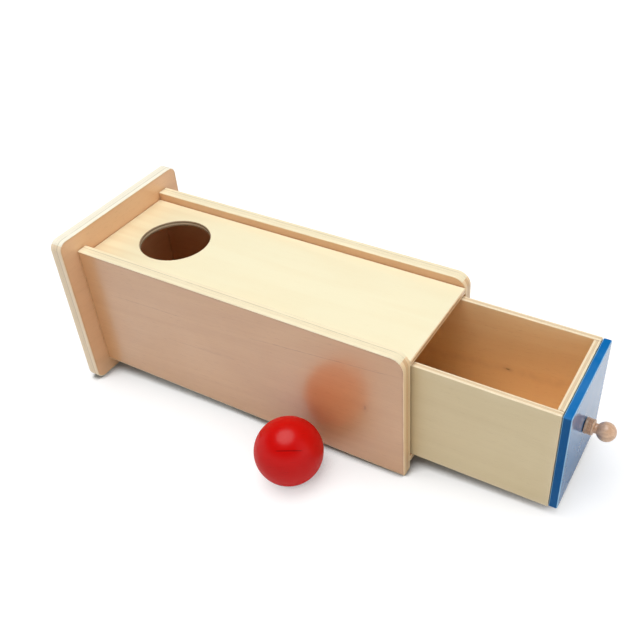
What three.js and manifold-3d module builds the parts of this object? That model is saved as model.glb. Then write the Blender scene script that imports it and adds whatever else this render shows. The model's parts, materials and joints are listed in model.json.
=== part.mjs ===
// A wooden ball drawer box: a ball dropped through the hole in the top lands in the drawer, rolls down
// its slope to the front, and is found when the drawer is pulled out.
//
// Millimetres, +Z up. The box stands on the floor z = 0 with its drawer toward +X. It leans toward the
// drawer, because the end plate reaches below the side boards: it rests on the plate's lower edge and on
// the side boards' front corners. The origin is on the floor, under the middle of the whole set.

import * as THREE from 'three';
import { mergeVertices } from 'three/addons/utils/BufferGeometryUtils.js';
import Module from 'manifold-3d';

// End plate: the square board that closes the case behind the drawer.
const PLATE_WIDTH = 110;
const PLATE_HEIGHT = 110;
const PLATE_THICKNESS = 8;
const PLATE_CORNER_RADIUS = 6;
const PLATE_DROP = 11; // from the side boards' lower edges down to the plate's

// Case: two side boards with a top and a bottom panel let in between them.
const CASE_LENGTH = 227;
const CASE_WIDTH = 86;
const CASE_HEIGHT = 88;
const SIDE_THICKNESS = 7.5;
const SIDE_CORNER_RADIUS = 8; // the side boards' upper front corners
const PANEL_THICKNESS = 3.7;
const TOP_RECESS = 5.4; // from the side boards' upper edges down to the top panel
const BOTTOM_RECESS = 5.4; // from the side boards' lower edges up to the bottom panel
const HOLE_PLAY = 4.5; // how much wider the ball hole is than the ball
const HOLE_FROM_PLATE = 19.8; // from the end plate to the hole's near edge

// Blind dowels between the side boards and the end plate.
const DOWEL_DIAMETER = 4;
const DOWEL_IN_SIDE = 9;
const DOWEL_COVER = 2.7; // left of the plate behind each dowel hole
const DOWEL_CHAMFER = 0.5;
const DOWEL_FROM_EDGE = 18; // from a side board's upper or lower edge

// Drawer, with its clearances inside the case.
const DRAWER_WALL = 3.7;
const DRAWER_SIDE_CLEARANCE = 2;
const DRAWER_TOP_CLEARANCE = 0.8;
const DRAWER_RUN_CLEARANCE = 0.5; // from the bottom panel up to the drawer
const DRAWER_BACK_CLEARANCE = 1; // from the end plate to the drawer's back when it is shut
const DRAWER_OPENING = 86; // how far the drawer stands open
const FRONT_THICKNESS = 4.8;
const FRONT_RISE = 0.6; // from the drawer's lower edge up to the front board's

// Turned knob: a collar, a neck and a ball, on the middle of the front board.
const KNOB_COLLAR_DIAMETER = 9.2;
const KNOB_COLLAR_LENGTH = 5;
const KNOB_COLLAR_ROUND = 0.9;
const KNOB_NECK_DIAMETER = 5.6;
const KNOB_NECK_LENGTH = 1.6; // what shows between the collar and the ball
const KNOB_BALL_DIAMETER = 10.9;

// Countersunk screw that holds the knob from inside the drawer.
const SCREW_DIAMETER = 2.6;
const SCREW_HEAD_DIAMETER = 5;
const SCREW_HEAD_RIM = 0.2;
const SCREW_HEAD_HEIGHT = 1.5;
const SCREW_IN_KNOB = 4.2;
const SCREW_TIP = 1.2;
const SCREW_SLOT_LENGTH = 3.4;
const SCREW_SLOT_WIDTH = 0.8;
const SCREW_SLOT_DEPTH = 0.7;

// The loose ball, standing beside the left side board.
const BALL_DIAMETER = 40;
const BALL_ALONG = 168; // from the end plate, along the floor
const BALL_GAP = 6.8; // from the left side board

const SEAT_GAP = 0.3; // the glue line, or the play, between two pieces that meet

// Steps round the ball and the knob, round thin pins, round the hole, and round a corner.
const ROUND_STEPS = 32;
const PIN_STEPS = 16;
const HOLE_STEPS = 36;
const CORNER_STEPS = 4;

// Places along the case, measured from the end plate's inner face (x), the middle (y) and its foot (z).
const sideBottom = PLATE_DROP;
const sideTop = sideBottom + CASE_HEIGHT;
const innerHalfWidth = CASE_WIDTH / 2 - SIDE_THICKNESS;
const topPanelTop = sideTop - TOP_RECESS;
const topPanelBottom = topPanelTop - PANEL_THICKNESS;
const bottomPanelBottom = sideBottom + BOTTOM_RECESS;
const bottomPanelTop = bottomPanelBottom + PANEL_THICKNESS;
const holeRadius = (BALL_DIAMETER + HOLE_PLAY) / 2;

// Places on the drawer when it is shut, with its front flush with the case.
const drawerHalfWidth = innerHalfWidth - DRAWER_SIDE_CLEARANCE;
const drawerInnerHalfWidth = drawerHalfWidth - DRAWER_WALL;
const drawerBottom = bottomPanelTop + DRAWER_RUN_CLEARANCE;
const drawerTop = topPanelBottom - DRAWER_TOP_CLEARANCE;
const frontFace = CASE_LENGTH;
const frontBack = frontFace - FRONT_THICKNESS;
const frontBottom = drawerBottom + FRONT_RISE;
const innerFrontFace = frontBack - SEAT_GAP;
const innerFrontBack = innerFrontFace - DRAWER_WALL;
const drawerBackFace = DRAWER_BACK_CLEARANCE;
const knobHeight = (frontBottom + drawerTop) / 2;

// The lean: the plate's lower edge and the side boards' lower front corners stand on one floor.
const lean = Math.atan2(PLATE_DROP, CASE_LENGTH);

const wasm = await Module();
wasm.setup();

// A closed mesh as a solid that can be cut.
function toSolid(geometry) {
  const bare = geometry.index ? geometry.toNonIndexed() : geometry.clone();
  bare.deleteAttribute('normal');
  bare.deleteAttribute('uv');
  const merged = mergeVertices(bare, 1e-4);
  const vertProperties = new Float32Array(merged.attributes.position.array);
  const triVerts = new Uint32Array(merged.index.array);
  return new wasm.Manifold(new wasm.Mesh({ numProp: 3, vertProperties, triVerts }));
}

// A solid as a geometry again.
function toGeometry(solid) {
  const mesh = solid.getMesh();
  const geometry = new THREE.BufferGeometry();
  geometry.setAttribute('position', new THREE.BufferAttribute(new Float32Array(mesh.vertProperties), 3));
  geometry.setIndex(new THREE.BufferAttribute(new Uint32Array(mesh.triVerts), 1));
  const faceted = geometry.toNonIndexed();
  faceted.computeVertexNormals();
  return faceted;
}

// A geometry with others taken out of it.
function cut(geometry, tools) {
  let solid = toSolid(geometry);
  for (const tool of tools) {
    solid = solid.subtract(toSolid(tool));
  }
  return toGeometry(solid);
}

// A board that fills the space between two corners.
function board([x0, y0, z0], [x1, y1, z1]) {
  const geometry = new THREE.BoxGeometry(x1 - x0, y1 - y0, z1 - z0);
  return geometry.translate((x0 + x1) / 2, (y0 + y1) / 2, (z0 + z1) / 2);
}

// A profile of [radius, x] points turned about the X axis.
function turned(profile, steps) {
  const points = profile.map(([radius, x]) => new THREE.Vector2(radius, x));
  return new THREE.LatheGeometry(points, steps).rotateZ(-Math.PI / 2);
}

// Points of an arc in a profile, from one angle to another about a centre.
function arc([radius, x], size, from, to, steps) {
  return Array.from({ length: steps + 1 }, (_, i) => {
    const angle = from + (to - from) * (i / steps);
    return [radius + size * Math.cos(angle), x + size * Math.sin(angle)];
  });
}

// How a piece's surface looks.
function finish(color, roughness, metalness = 0) {
  return new THREE.MeshStandardMaterial({ color, roughness, metalness });
}

// A named piece, ready to be placed.
function piece(name, geometry, material) {
  const mesh = new THREE.Mesh(geometry, material);
  mesh.name = name;
  return mesh;
}

// One of the dowels, lying along X through the joint at x = 0, grown by the play in its hole.
function dowel(play) {
  const radius = DOWEL_DIAMETER / 2 + play;
  const back = DOWEL_COVER + SEAT_GAP - PLATE_THICKNESS - play;
  const front = SEAT_GAP + DOWEL_IN_SIDE + play;
  return turned([
    [0, back],
    [radius - DOWEL_CHAMFER, back],
    [radius, back + DOWEL_CHAMFER],
    [radius, front - DOWEL_CHAMFER],
    [radius - DOWEL_CHAMFER, front],
    [0, front],
  ], PIN_STEPS);
}

// The knob's screw, with its head in the inner front and its tip in the knob, grown by the play in its hole.
function screw(play) {
  const shank = SCREW_DIAMETER / 2 + play;
  const head = SCREW_HEAD_DIAMETER / 2 + play;
  const tip = frontFace + SEAT_GAP + SCREW_IN_KNOB + play;
  return turned([
    [0, innerFrontBack - play],
    [head, innerFrontBack - play],
    [head, innerFrontBack + SCREW_HEAD_RIM],
    [shank, innerFrontBack + SCREW_HEAD_HEIGHT],
    [shank, tip - SCREW_TIP],
    [0, tip],
  ], PIN_STEPS);
}

// Where the dowels lie: two in the end of each side board.
const sideMiddle = CASE_WIDTH / 2 - SIDE_THICKNESS / 2;
const dowelPlaces = [
  { name: 'dowel_left_lower', y: -sideMiddle, z: sideBottom + DOWEL_FROM_EDGE },
  { name: 'dowel_left_upper', y: -sideMiddle, z: sideTop - DOWEL_FROM_EDGE },
  { name: 'dowel_right_lower', y: sideMiddle, z: sideBottom + DOWEL_FROM_EDGE },
  { name: 'dowel_right_upper', y: sideMiddle, z: sideTop - DOWEL_FROM_EDGE },
];
const dowelHoles = dowelPlaces.map(({ y, z }) => dowel(SEAT_GAP).translate(0, y, z));

// End plate, with a blind hole for each dowel.
function plate() {
  const half = PLATE_WIDTH / 2;
  const round = PLATE_CORNER_RADIUS;
  const outline = new THREE.Shape();
  outline.absarc(half - round, round, round, -Math.PI / 2, 0);
  outline.absarc(half - round, PLATE_HEIGHT - round, round, 0, Math.PI / 2);
  outline.absarc(round - half, PLATE_HEIGHT - round, round, Math.PI / 2, Math.PI);
  outline.absarc(round - half, round, round, Math.PI, 1.5 * Math.PI);
  const geometry = new THREE.ExtrudeGeometry(outline, {
    depth: PLATE_THICKNESS,
    bevelEnabled: false,
    curveSegments: CORNER_STEPS,
  });
  // The outline's x and y become the case's y and z, and the depth its x.
  geometry.applyMatrix4(new THREE.Matrix4().makeBasis(
    new THREE.Vector3(0, 1, 0),
    new THREE.Vector3(0, 0, 1),
    new THREE.Vector3(1, 0, 0),
  ));
  geometry.translate(-PLATE_THICKNESS, 0, 0);
  return cut(geometry, dowelHoles);
}

// A side board, seen from the side, from y = -SIDE_THICKNESS to y = 0.
function sideBoard() {
  const outline = new THREE.Shape();
  outline.moveTo(SEAT_GAP, sideBottom);
  outline.lineTo(CASE_LENGTH, sideBottom);
  outline.absarc(
    CASE_LENGTH - SIDE_CORNER_RADIUS,
    sideTop - SIDE_CORNER_RADIUS,
    SIDE_CORNER_RADIUS,
    0,
    Math.PI / 2,
  );
  outline.lineTo(SEAT_GAP, sideTop);
  outline.closePath();
  const geometry = new THREE.ExtrudeGeometry(outline, {
    depth: SIDE_THICKNESS,
    bevelEnabled: false,
    curveSegments: CORNER_STEPS,
  });
  return geometry.rotateX(Math.PI / 2);
}

// Top panel, with the ball hole.
function topPanel() {
  const half = innerHalfWidth - SEAT_GAP;
  const outline = new THREE.Shape();
  outline.moveTo(SEAT_GAP, -half);
  outline.lineTo(CASE_LENGTH, -half);
  outline.lineTo(CASE_LENGTH, half);
  outline.lineTo(SEAT_GAP, half);
  outline.closePath();
  const hole = new THREE.Path();
  hole.absarc(HOLE_FROM_PLATE + holeRadius, 0, holeRadius, 0, 2 * Math.PI);
  outline.holes.push(hole);
  const geometry = new THREE.ExtrudeGeometry(outline, {
    depth: PANEL_THICKNESS,
    bevelEnabled: false,
    curveSegments: HOLE_STEPS,
  });
  return geometry.translate(0, 0, topPanelBottom);
}

// Knob, turned about the screw's axis, with its foot on the front board.
function knob() {
  const collar = KNOB_COLLAR_DIAMETER / 2;
  const neck = KNOB_NECK_DIAMETER / 2;
  const ball = KNOB_BALL_DIAMETER / 2;
  const foot = frontFace + SEAT_GAP;
  const rim = foot + KNOB_COLLAR_LENGTH;
  const round = KNOB_COLLAR_ROUND;
  const neckAngle = -Math.acos(neck / ball);
  const centre = rim + KNOB_NECK_LENGTH - ball * Math.sin(neckAngle);
  const body = turned([
    [0, foot],
    [collar, foot],
    ...arc([collar - round, rim - round], round, 0, Math.PI / 2, CORNER_STEPS),
    [neck, rim],
    ...arc([0, centre], ball, neckAngle, Math.PI / 2, ROUND_STEPS / 2).slice(0, -1),
    [0, centre + ball],
  ], ROUND_STEPS);
  return cut(body, [screw(SEAT_GAP)]);
}

// Two crossed slots in the screw's head.
function screwSlots() {
  const half = SCREW_SLOT_WIDTH / 2;
  const reach = SCREW_SLOT_LENGTH / 2;
  const near = innerFrontBack - SEAT_GAP;
  const deep = innerFrontBack + SCREW_SLOT_DEPTH;
  return [
    board([near, -half, -reach], [deep, half, reach]),
    board([near, -reach, -half], [deep, reach, half]),
  ];
}

// Case.
const box = new THREE.Group();
box.rotation.y = lean;
box.add(piece('end_plate', plate(), finish(0xd8b184, 0.45)));
box.add(piece(
  'side_left',
  cut(sideBoard().translate(0, SIDE_THICKNESS - CASE_WIDTH / 2, 0), dowelHoles),
  finish(0xd2ae84, 0.4),
));
box.add(piece(
  'side_right',
  cut(sideBoard().translate(0, CASE_WIDTH / 2, 0), dowelHoles),
  finish(0xd2ae84, 0.4),
));
box.add(piece('top_panel', topPanel(), finish(0xf0e0bc, 0.4)));
box.add(piece(
  'bottom_panel',
  board(
    [SEAT_GAP, SEAT_GAP - innerHalfWidth, bottomPanelBottom],
    [CASE_LENGTH, innerHalfWidth - SEAT_GAP, bottomPanelTop],
  ),
  finish(0xe0c79c, 0.5),
));
for (const { name, y, z } of dowelPlaces) {
  const pin = piece(name, dowel(0), finish(0xd9bd8f, 0.7));
  pin.position.set(0, y, z);
  box.add(pin);
}

// Drawer, standing open.
const drawer = new THREE.Group();
drawer.position.x = DRAWER_OPENING;
box.add(drawer);
drawer.add(piece(
  'drawer_side_left',
  board(
    [drawerBackFace, -drawerHalfWidth, drawerBottom],
    [innerFrontFace, -drawerInnerHalfWidth, drawerTop],
  ),
  finish(0xd9c596, 0.45),
));
drawer.add(piece(
  'drawer_side_right',
  board(
    [drawerBackFace, drawerInnerHalfWidth, drawerBottom],
    [innerFrontFace, drawerHalfWidth, drawerTop],
  ),
  finish(0xd9c596, 0.45),
));
drawer.add(piece(
  'drawer_back',
  board(
    [drawerBackFace, SEAT_GAP - drawerInnerHalfWidth, drawerBottom],
    [drawerBackFace + DRAWER_WALL, drawerInnerHalfWidth - SEAT_GAP, drawerTop],
  ),
  finish(0xd9c596, 0.45),
));
drawer.add(piece(
  'drawer_bottom',
  board(
    [drawerBackFace + DRAWER_WALL + SEAT_GAP, SEAT_GAP - drawerInnerHalfWidth, drawerBottom],
    [innerFrontBack - SEAT_GAP, drawerInnerHalfWidth - SEAT_GAP, drawerBottom + DRAWER_WALL],
  ),
  finish(0xd9c596, 0.45),
));

// The two boards of the drawer's front, with the screw's hole, and the knob on them.
const screwHole = screw(SEAT_GAP).translate(0, 0, knobHeight);
drawer.add(piece(
  'drawer_inner_front',
  cut(
    board(
      [innerFrontBack, SEAT_GAP - drawerInnerHalfWidth, drawerBottom],
      [innerFrontFace, drawerInnerHalfWidth - SEAT_GAP, drawerTop],
    ),
    [screwHole],
  ),
  finish(0xd9c596, 0.45),
));
drawer.add(piece(
  'drawer_front',
  cut(
    board([frontBack, -drawerHalfWidth, frontBottom], [frontFace, drawerHalfWidth, drawerTop]),
    [screwHole],
  ),
  finish(0x1f6fb8, 0.15),
));
const handle = piece('knob', knob(), finish(0xd0a27c, 0.4));
handle.position.z = knobHeight;
drawer.add(handle);
const fastener = piece('knob_screw', cut(screw(0), screwSlots()), finish(0xb9bcc0, 0.3, 1));
fastener.position.z = knobHeight;
drawer.add(fastener);

// Ball, on the floor.
const ball = piece(
  'ball',
  new THREE.SphereGeometry(BALL_DIAMETER / 2, ROUND_STEPS, ROUND_STEPS / 2).rotateX(Math.PI / 2),
  finish(0xc8130c, 0.3),
);
ball.position.set(BALL_ALONG, -CASE_WIDTH / 2 - BALL_GAP - BALL_DIAMETER / 2, BALL_DIAMETER / 2);

// The set, moved so that the origin is on the floor under its middle.
const set = new THREE.Group();
set.add(box, ball);
const bounds = new THREE.Box3().setFromObject(set, true);
const middle = bounds.getCenter(new THREE.Vector3());
set.position.set(-middle.x, -middle.y, -bounds.min.z);

const toy = new THREE.Group();
toy.add(set);

export default toy;
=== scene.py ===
"""Looks of a wooden ball drawer box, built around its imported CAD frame.

A lacquered ply case with a round ball hole in its top panel, a ply drawer with a blue front and a turned
knob, and a loose red ball beside it. Lengths in the dataclasses are millimetres in the case's own frame:
x from the end plate's inner face towards the drawer, y from the middle, z from the end plate's foot.
"""

import json
import logging
import math
from collections.abc import Sequence
from dataclasses import dataclass, field
from enum import Enum

import bpy
from mathutils import Matrix, Vector
from mathutils.geometry import tessellate_polygon


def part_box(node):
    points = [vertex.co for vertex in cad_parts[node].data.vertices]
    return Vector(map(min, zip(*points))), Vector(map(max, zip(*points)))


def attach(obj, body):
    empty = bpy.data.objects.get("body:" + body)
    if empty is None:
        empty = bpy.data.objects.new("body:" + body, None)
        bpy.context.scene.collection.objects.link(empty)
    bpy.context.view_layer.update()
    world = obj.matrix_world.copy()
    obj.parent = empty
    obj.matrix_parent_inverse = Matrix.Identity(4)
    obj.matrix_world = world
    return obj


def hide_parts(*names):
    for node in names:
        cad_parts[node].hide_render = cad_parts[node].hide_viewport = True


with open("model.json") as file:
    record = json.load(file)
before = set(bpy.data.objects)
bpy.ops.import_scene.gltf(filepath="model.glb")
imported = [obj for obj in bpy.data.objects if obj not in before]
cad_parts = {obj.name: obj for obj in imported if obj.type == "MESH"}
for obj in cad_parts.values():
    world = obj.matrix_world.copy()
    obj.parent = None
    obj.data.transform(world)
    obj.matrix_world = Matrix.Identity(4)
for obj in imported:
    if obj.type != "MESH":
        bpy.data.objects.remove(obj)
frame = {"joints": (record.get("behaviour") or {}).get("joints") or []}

MM = 0.001
END_LIFT = 2.0  # what is added to the UV height of an edge that cuts across the grain
LOG = logging.getLogger("ball_drawer_box")

Colour = tuple[float, float, float, float]
Pair = tuple[float, float]
Triple = tuple[float, float, float]
Material = bpy.types.Material
Piece = bpy.types.Object
Socket = bpy.types.NodeSocket
Sockets = bpy.types.bpy_prop_collection
Tree = bpy.types.NodeTree


def paint_chip(red: int, green: int, blue: int) -> Colour:
    """Turns a colour as a screen shows it, 0 to 255, into the linear colour that a shader takes.

    Args:
        red: Red share.
        green: Green share.
        blue: Blue share.

    Returns:
        The linear colour, with full alpha.
    """
    shares = []
    for share in (red, green, blue):
        level = share / 255
        shares.append(level / 12.92 if level <= 0.04045 else ((level + 0.055) / 1.055) ** 2.4)
    return (shares[0], shares[1], shares[2], 1.0)


def show(thing: Piece) -> None:
    """Puts an object into the scene."""
    bpy.context.scene.collection.objects.link(thing)


# Frame and meshes


@dataclass(frozen=True)
class CaseFrame:
    """The leaning case's own frame, and how it stands in the shared frame."""

    lean: float
    place: Triple

    @classmethod
    def from_cad(cls, plate_thickness: float) -> "CaseFrame":
        """Reads the lean from the drawer's slide, and the place from the end plate.

        Args:
            plate_thickness: The end plate's thickness in millimetres.

        Returns:
            The frame that the case's lengths are measured in.
        """
        slide = next(joint for joint in frame["joints"] if joint["name"] == "drawer_slide")
        lean = math.atan2(-slide["axis"][2], slide["axis"][0])
        low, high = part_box("end_plate")
        return cls(lean, (low.x + plate_thickness * MM * math.cos(lean), (low.y + high.y) / 2, low.z))

    @property
    def turn(self) -> Matrix:
        """The lean as a rotation."""
        return Matrix.Rotation(self.lean, 3, "Y")

    @property
    def matrix(self) -> Matrix:
        """The way from the case's millimetres to the shared frame's metres."""
        return Matrix.Translation(self.place) @ self.turn.to_4x4() @ Matrix.Scale(MM, 4)


class Lie(Enum):
    """How a board lies: the case axes along and across its grain, and of its thickness."""

    ALONG = (0, 2, 1)
    ACROSS = (1, 2, 0)
    FLAT = (0, 1, 2)


class Skin(Enum):
    """The material slots of a board."""

    LOW_FACE = 0
    HIGH_FACE = 1
    EDGE = 2
    HOLE = 3


class MeshMaker:
    """Collects the points and faces of one closed mesh, with a UV place and a normal at each face corner."""

    def __init__(self) -> None:
        """Starts an empty mesh."""
        self.points: list[Vector] = []
        self.faces: list[tuple[int, ...]] = []
        self.places: list[Pair] = []
        self.normals: list[Vector] = []
        self.slots: list[int] = []

    def point(self, place: Vector) -> int:
        """Adds a point and gives its number."""
        self.points.append(place)
        return len(self.points) - 1

    def face(
        self, corners: Sequence[int], places: Sequence[Pair], normals: Sequence[Vector], slot: int
    ) -> None:
        """Adds a face.

        Args:
            corners: Numbers of its points, anticlockwise from outside.
            places: UV place at each corner.
            normals: Normal at each corner.
            slot: Number of its material slot.
        """
        self.faces.append(tuple(corners))
        self.places.extend(places)
        self.normals.extend(normals)
        self.slots.append(slot)

    def build(self, name: str, materials: Sequence[Material]) -> Piece:
        """Makes the object.

        Args:
            name: The piece's name.
            materials: The materials of its slots.

        Returns:
            The new object, linked to the scene.
        """
        mesh = bpy.data.meshes.new(name)
        mesh.from_pydata(self.points, [], self.faces)
        for material in materials:
            mesh.materials.append(material)
        mesh.polygons.foreach_set("material_index", self.slots)
        mesh.polygons.foreach_set("use_smooth", [True] * len(self.faces))
        layer = mesh.uv_layers.new(name="ply")
        layer.data.foreach_set("uv", [share for place in self.places for share in place])
        mesh.normals_split_custom_set([normal.normalized() for normal in self.normals])
        mesh.update()
        piece = bpy.data.objects.new(name, mesh)
        show(piece)
        return piece


@dataclass(frozen=True)
class LoopPoint:
    """A point of an outline or a hole, with the way out of the wood there and its length along the loop."""

    place: Vector
    out: Vector
    along: float


@dataclass(frozen=True)
class Ring:
    """One turn of a board's edge or hole: how far it is let in, its height and its normals on both sides."""

    inset: float
    height: float
    before: Pair
    after: Pair


@dataclass(frozen=True)
class Hole:
    """A round hole in a board's face: its middle, its radius, its wall's rings and the steps round it."""

    middle: Pair
    radius: float
    rings: tuple[Ring, ...]
    steps: int
    blind: bool = False


@dataclass(frozen=True)
class EndBore:
    """A blind bore in a board's first end: how far up the outline, its radius and its depth."""

    up: float
    radius: float
    depth: float


@dataclass
class Board:
    """A ply board with eased edges, built from its corners in the case's frame."""

    name: str
    lie: Lie
    low: Triple
    high: Triple
    ease: float
    corners: tuple[float, float, float, float] = (0.0, 0.0, 0.0, 0.0)
    holes: tuple[Hole, ...] = ()
    bores: tuple[EndBore, ...] = ()
    corner_steps: int = 8
    small_corner: float = 3.0
    small_corner_steps: int = 3
    corner_per_ease: float = 1.05
    ease_steps: int = 4
    bore_steps: int = 16
    maker: MeshMaker = field(default_factory=MeshMaker)

    @property
    def thickness(self) -> float:
        """The board's thickness."""
        axis = self.lie.value[2]
        return self.high[axis] - self.low[axis]

    @property
    def spans(self) -> tuple[Pair, Pair]:
        """The outline's reach in its two directions."""
        first, second, _ = self.lie.value
        return (self.low[first], self.high[first]), (self.low[second], self.high[second])

    @property
    def half_size(self) -> Pair:
        """Half the face's length along and across its grain, in metres."""
        along, across = ((high - low) / 2 * MM for low, high in self.spans)
        return along, across

    def eased_rings(self) -> tuple[Ring, ...]:
        """The rings of a wall that is rounded into both faces.

        Returns:
            The rings, from the low face to the high face.
        """
        lower = []
        for step in range(self.ease_steps + 1):
            angle = step / self.ease_steps * math.pi / 2
            out = (math.sin(angle), -math.cos(angle))
            lower.append(Ring(self.ease * (1 - out[0]), self.ease * (1 + out[1]), out, out))
        upper = []
        for ring in reversed(lower):
            out = (ring.before[0], -ring.before[1])
            upper.append(Ring(ring.inset, self.thickness - ring.height, out, out))
        return tuple(lower + upper)

    def outline(self) -> list[LoopPoint]:
        """The outline, anticlockwise, with its corners rounded.

        Returns:
            Its points.
        """
        (left, right), (bottom, top) = self.spans
        points: list[LoopPoint] = []
        along = 0.0
        for number, (x, y) in enumerate(((left, bottom), (right, bottom), (right, top), (left, top))):
            radius = max(self.corners[number], self.ease * self.corner_per_ease)
            middle = Vector((
                x + (radius if x == left else -radius),
                y + (radius if y == bottom else -radius),
            ))
            steps = self.corner_steps if radius > self.small_corner else self.small_corner_steps
            for step in range(steps + 1):
                angle = math.pi + (number + step / steps) * math.pi / 2
                out = Vector((math.cos(angle), math.sin(angle)))
                place = middle + out * radius
                if points:
                    along += (place - points[-1].place).length
                points.append(LoopPoint(place, out, along))
        return points

    @staticmethod
    def round_loop(hole: Hole) -> list[LoopPoint]:
        """The loop round a hole, clockwise, so that the way out of the wood is into the hole.

        Args:
            hole: The hole.

        Returns:
            Its points.
        """
        points = []
        for step in range(hole.steps):
            angle = -2 * math.pi * step / hole.steps
            ray = Vector((math.cos(angle), math.sin(angle)))
            points.append(LoopPoint(Vector(hole.middle) + ray * hole.radius, -ray, -angle * hole.radius))
        return points

    def to_case(self, place: Vector, height: float) -> Vector:
        """Lays an outline point at a height of the board in the case's frame.

        Args:
            place: The point, in the outline's two directions.
            height: Its height above the low face.

        Returns:
            The point in the case's frame.
        """
        point = Vector((0.0, 0.0, 0.0))
        first, second, third = self.lie.value
        point[first], point[second], point[third] = place.x, place.y, self.low[third] + height
        return point

    def to_case_normal(self, out: Vector, share: Pair) -> Vector:
        """Lays a normal, given as shares outwards and upwards, in the case's frame.

        Args:
            out: The way out, in the outline's two directions.
            share: The shares outwards and upwards.

        Returns:
            The normal in the case's frame.
        """
        normal = Vector((0.0, 0.0, 0.0))
        first, second, third = self.lie.value
        normal[first], normal[second], normal[third] = out.x * share[0], out.y * share[0], share[1]
        return normal

    def add_face(self, corners: list[int], places: list[Pair], normals: list[Vector], skin: Skin) -> None:
        """Adds a face given anticlockwise in the board's axes, turned round if those are left-handed."""
        if self.lie is Lie.ALONG:
            corners, places, normals = corners[::-1], places[::-1], normals[::-1]
        self.maker.face(corners, places, normals, skin.value)

    def wall(
        self,
        loop: list[LoopPoint],
        rings: Sequence[Ring],
        skin: Skin,
        skipped: tuple[int, int] | None = None,
    ) -> list[list[int]]:
        """Adds the wall along a loop, ring by ring. Its UV place is lifted where it cuts across the grain.

        Args:
            loop: The points that the wall follows.
            rings: Its rings, from the low face to the high face.
            skin: Which material slot it has.
            skipped: A ring and a loop point whose face is left out.

        Returns:
            The point numbers of each ring.
        """
        turns = []
        for ring in rings:
            turn = [self.to_case(point.place - point.out * ring.inset, ring.height) for point in loop]
            turns.append([self.maker.point(point) for point in turn])
        around = loop[-1].along + (loop[0].place - loop[-1].place).length
        for number in range(len(rings) - 1):
            lower, upper = rings[number], rings[number + 1]
            for step, point in enumerate(loop):
                if skipped == (number, step):
                    continue
                after = (step + 1) % len(loop)
                ahead = loop[after].along if after else around
                here = turns[number]
                above = turns[number + 1]
                out = point.out + loop[after].out
                lift = END_LIFT if skin is Skin.EDGE and abs(out.x) > abs(out.y) else 0.0
                low, high = lower.height / self.thickness + lift, upper.height / self.thickness + lift
                start, end = point.along * MM, ahead * MM
                self.add_face(
                    [here[step], here[after], above[after], above[step]],
                    [(start, low), (end, low), (end, high), (start, high)],
                    [
                        self.to_case_normal(point.out, lower.after),
                        self.to_case_normal(loop[after].out, lower.after),
                        self.to_case_normal(loop[after].out, upper.before),
                        self.to_case_normal(point.out, upper.before),
                    ],
                    skin,
                )
        return turns

    def face_place(self, point: Vector) -> Pair:
        """The UV place of a point on a face.

        Args:
            point: The point in the case's frame.

        Returns:
            Metres along and across the grain, from the face's middle.
        """
        spans = zip(self.lie.value[:2], self.spans)
        along, across = ((point[axis] - (low + high) / 2) * MM for axis, (low, high) in spans)
        return along, across

    def cap(self, loops: list[list[int]], skin: Skin) -> None:
        """Closes a face that is bounded by loops, the outline first and its holes after it.

        Args:
            loops: The point numbers of each loop.
            skin: Which face it is.
        """
        first, second, _ = self.lie.value
        numbers = [number for loop in loops for number in loop]
        flat = [
            [Vector((self.maker.points[n][first], self.maker.points[n][second], 0.0)) for n in loop]
            for loop in loops
        ]
        spread = [point for loop in flat for point in loop]
        normal = self.to_case_normal(Vector((0.0, 0.0)), (0.0, 1.0 if skin is Skin.HIGH_FACE else -1.0))
        pieces = [tuple(range(len(numbers)))] if len(loops) == 1 else tessellate_polygon(flat)
        for piece in pieces:
            a, b, c = (spread[piece[index]] for index in (0, 1, 2))
            left_turn = (b - a).cross(c - a).z > 0 or len(loops) == 1
            corners = [numbers[index] for index in piece]
            if left_turn != (skin is Skin.HIGH_FACE):
                corners.reverse()
            places = [self.face_place(self.maker.points[number]) for number in corners]
            self.add_face(corners, places, [normal] * len(corners), skin)

    def drill_end(self, ring: list[list[int]], flat: int, step: int) -> None:
        """Fills the flat of the first end, with its blind bores.

        Args:
            ring: The point numbers of the outline's rings.
            flat: Number of the ring below the flat.
            step: Number of the loop point before the flat.
        """
        _, second, third = self.lie.value
        after = (step + 1) % len(ring[flat])
        face_normal = self.to_case_normal(Vector((-1.0, 0.0)), (1.0, 0.0))
        loops = [[ring[flat][step], ring[flat][after], ring[flat + 1][after], ring[flat + 1][step]]]
        loops += [self.drill(bore, face_normal) for bore in self.bores]
        flat_loops = [
            [Vector((self.maker.points[n][second], self.maker.points[n][third], 0.0)) for n in loop]
            for loop in loops
        ]
        numbers = [number for loop in loops for number in loop]
        for piece in tessellate_polygon(flat_loops):
            self.add_end_face([numbers[index] for index in piece], [face_normal] * 3)

    def drill(self, bore: EndBore, face_normal: Vector) -> list[int]:
        """Adds the wall and the floor of a blind bore in the first end.

        Args:
            bore: The bore.
            face_normal: The way out of the end.

        Returns:
            The point numbers of its mouth.
        """
        first, second, third = self.lie.value
        middle = (self.low[third] + self.high[third]) / 2
        mouth, floor, rays = [], [], []
        for number in range(self.bore_steps):
            angle = 2 * math.pi * number / self.bore_steps
            ray = Vector((0.0, 0.0, 0.0))
            ray[second], ray[third] = math.cos(angle), math.sin(angle)
            point = ray * bore.radius
            point[first] = self.low[first]
            point[second] += bore.up
            point[third] += middle
            deep = point.copy()
            deep[first] += bore.depth
            mouth.append(self.maker.point(point))
            floor.append(self.maker.point(deep))
            rays.append(-ray)
        for number in range(self.bore_steps):
            ahead = (number + 1) % self.bore_steps
            self.add_end_face(
                [mouth[number], mouth[ahead], floor[ahead], floor[number]],
                [rays[number], rays[ahead], rays[ahead], rays[number]],
            )
        self.add_end_face(floor, [face_normal] * self.bore_steps)
        return mouth

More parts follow.
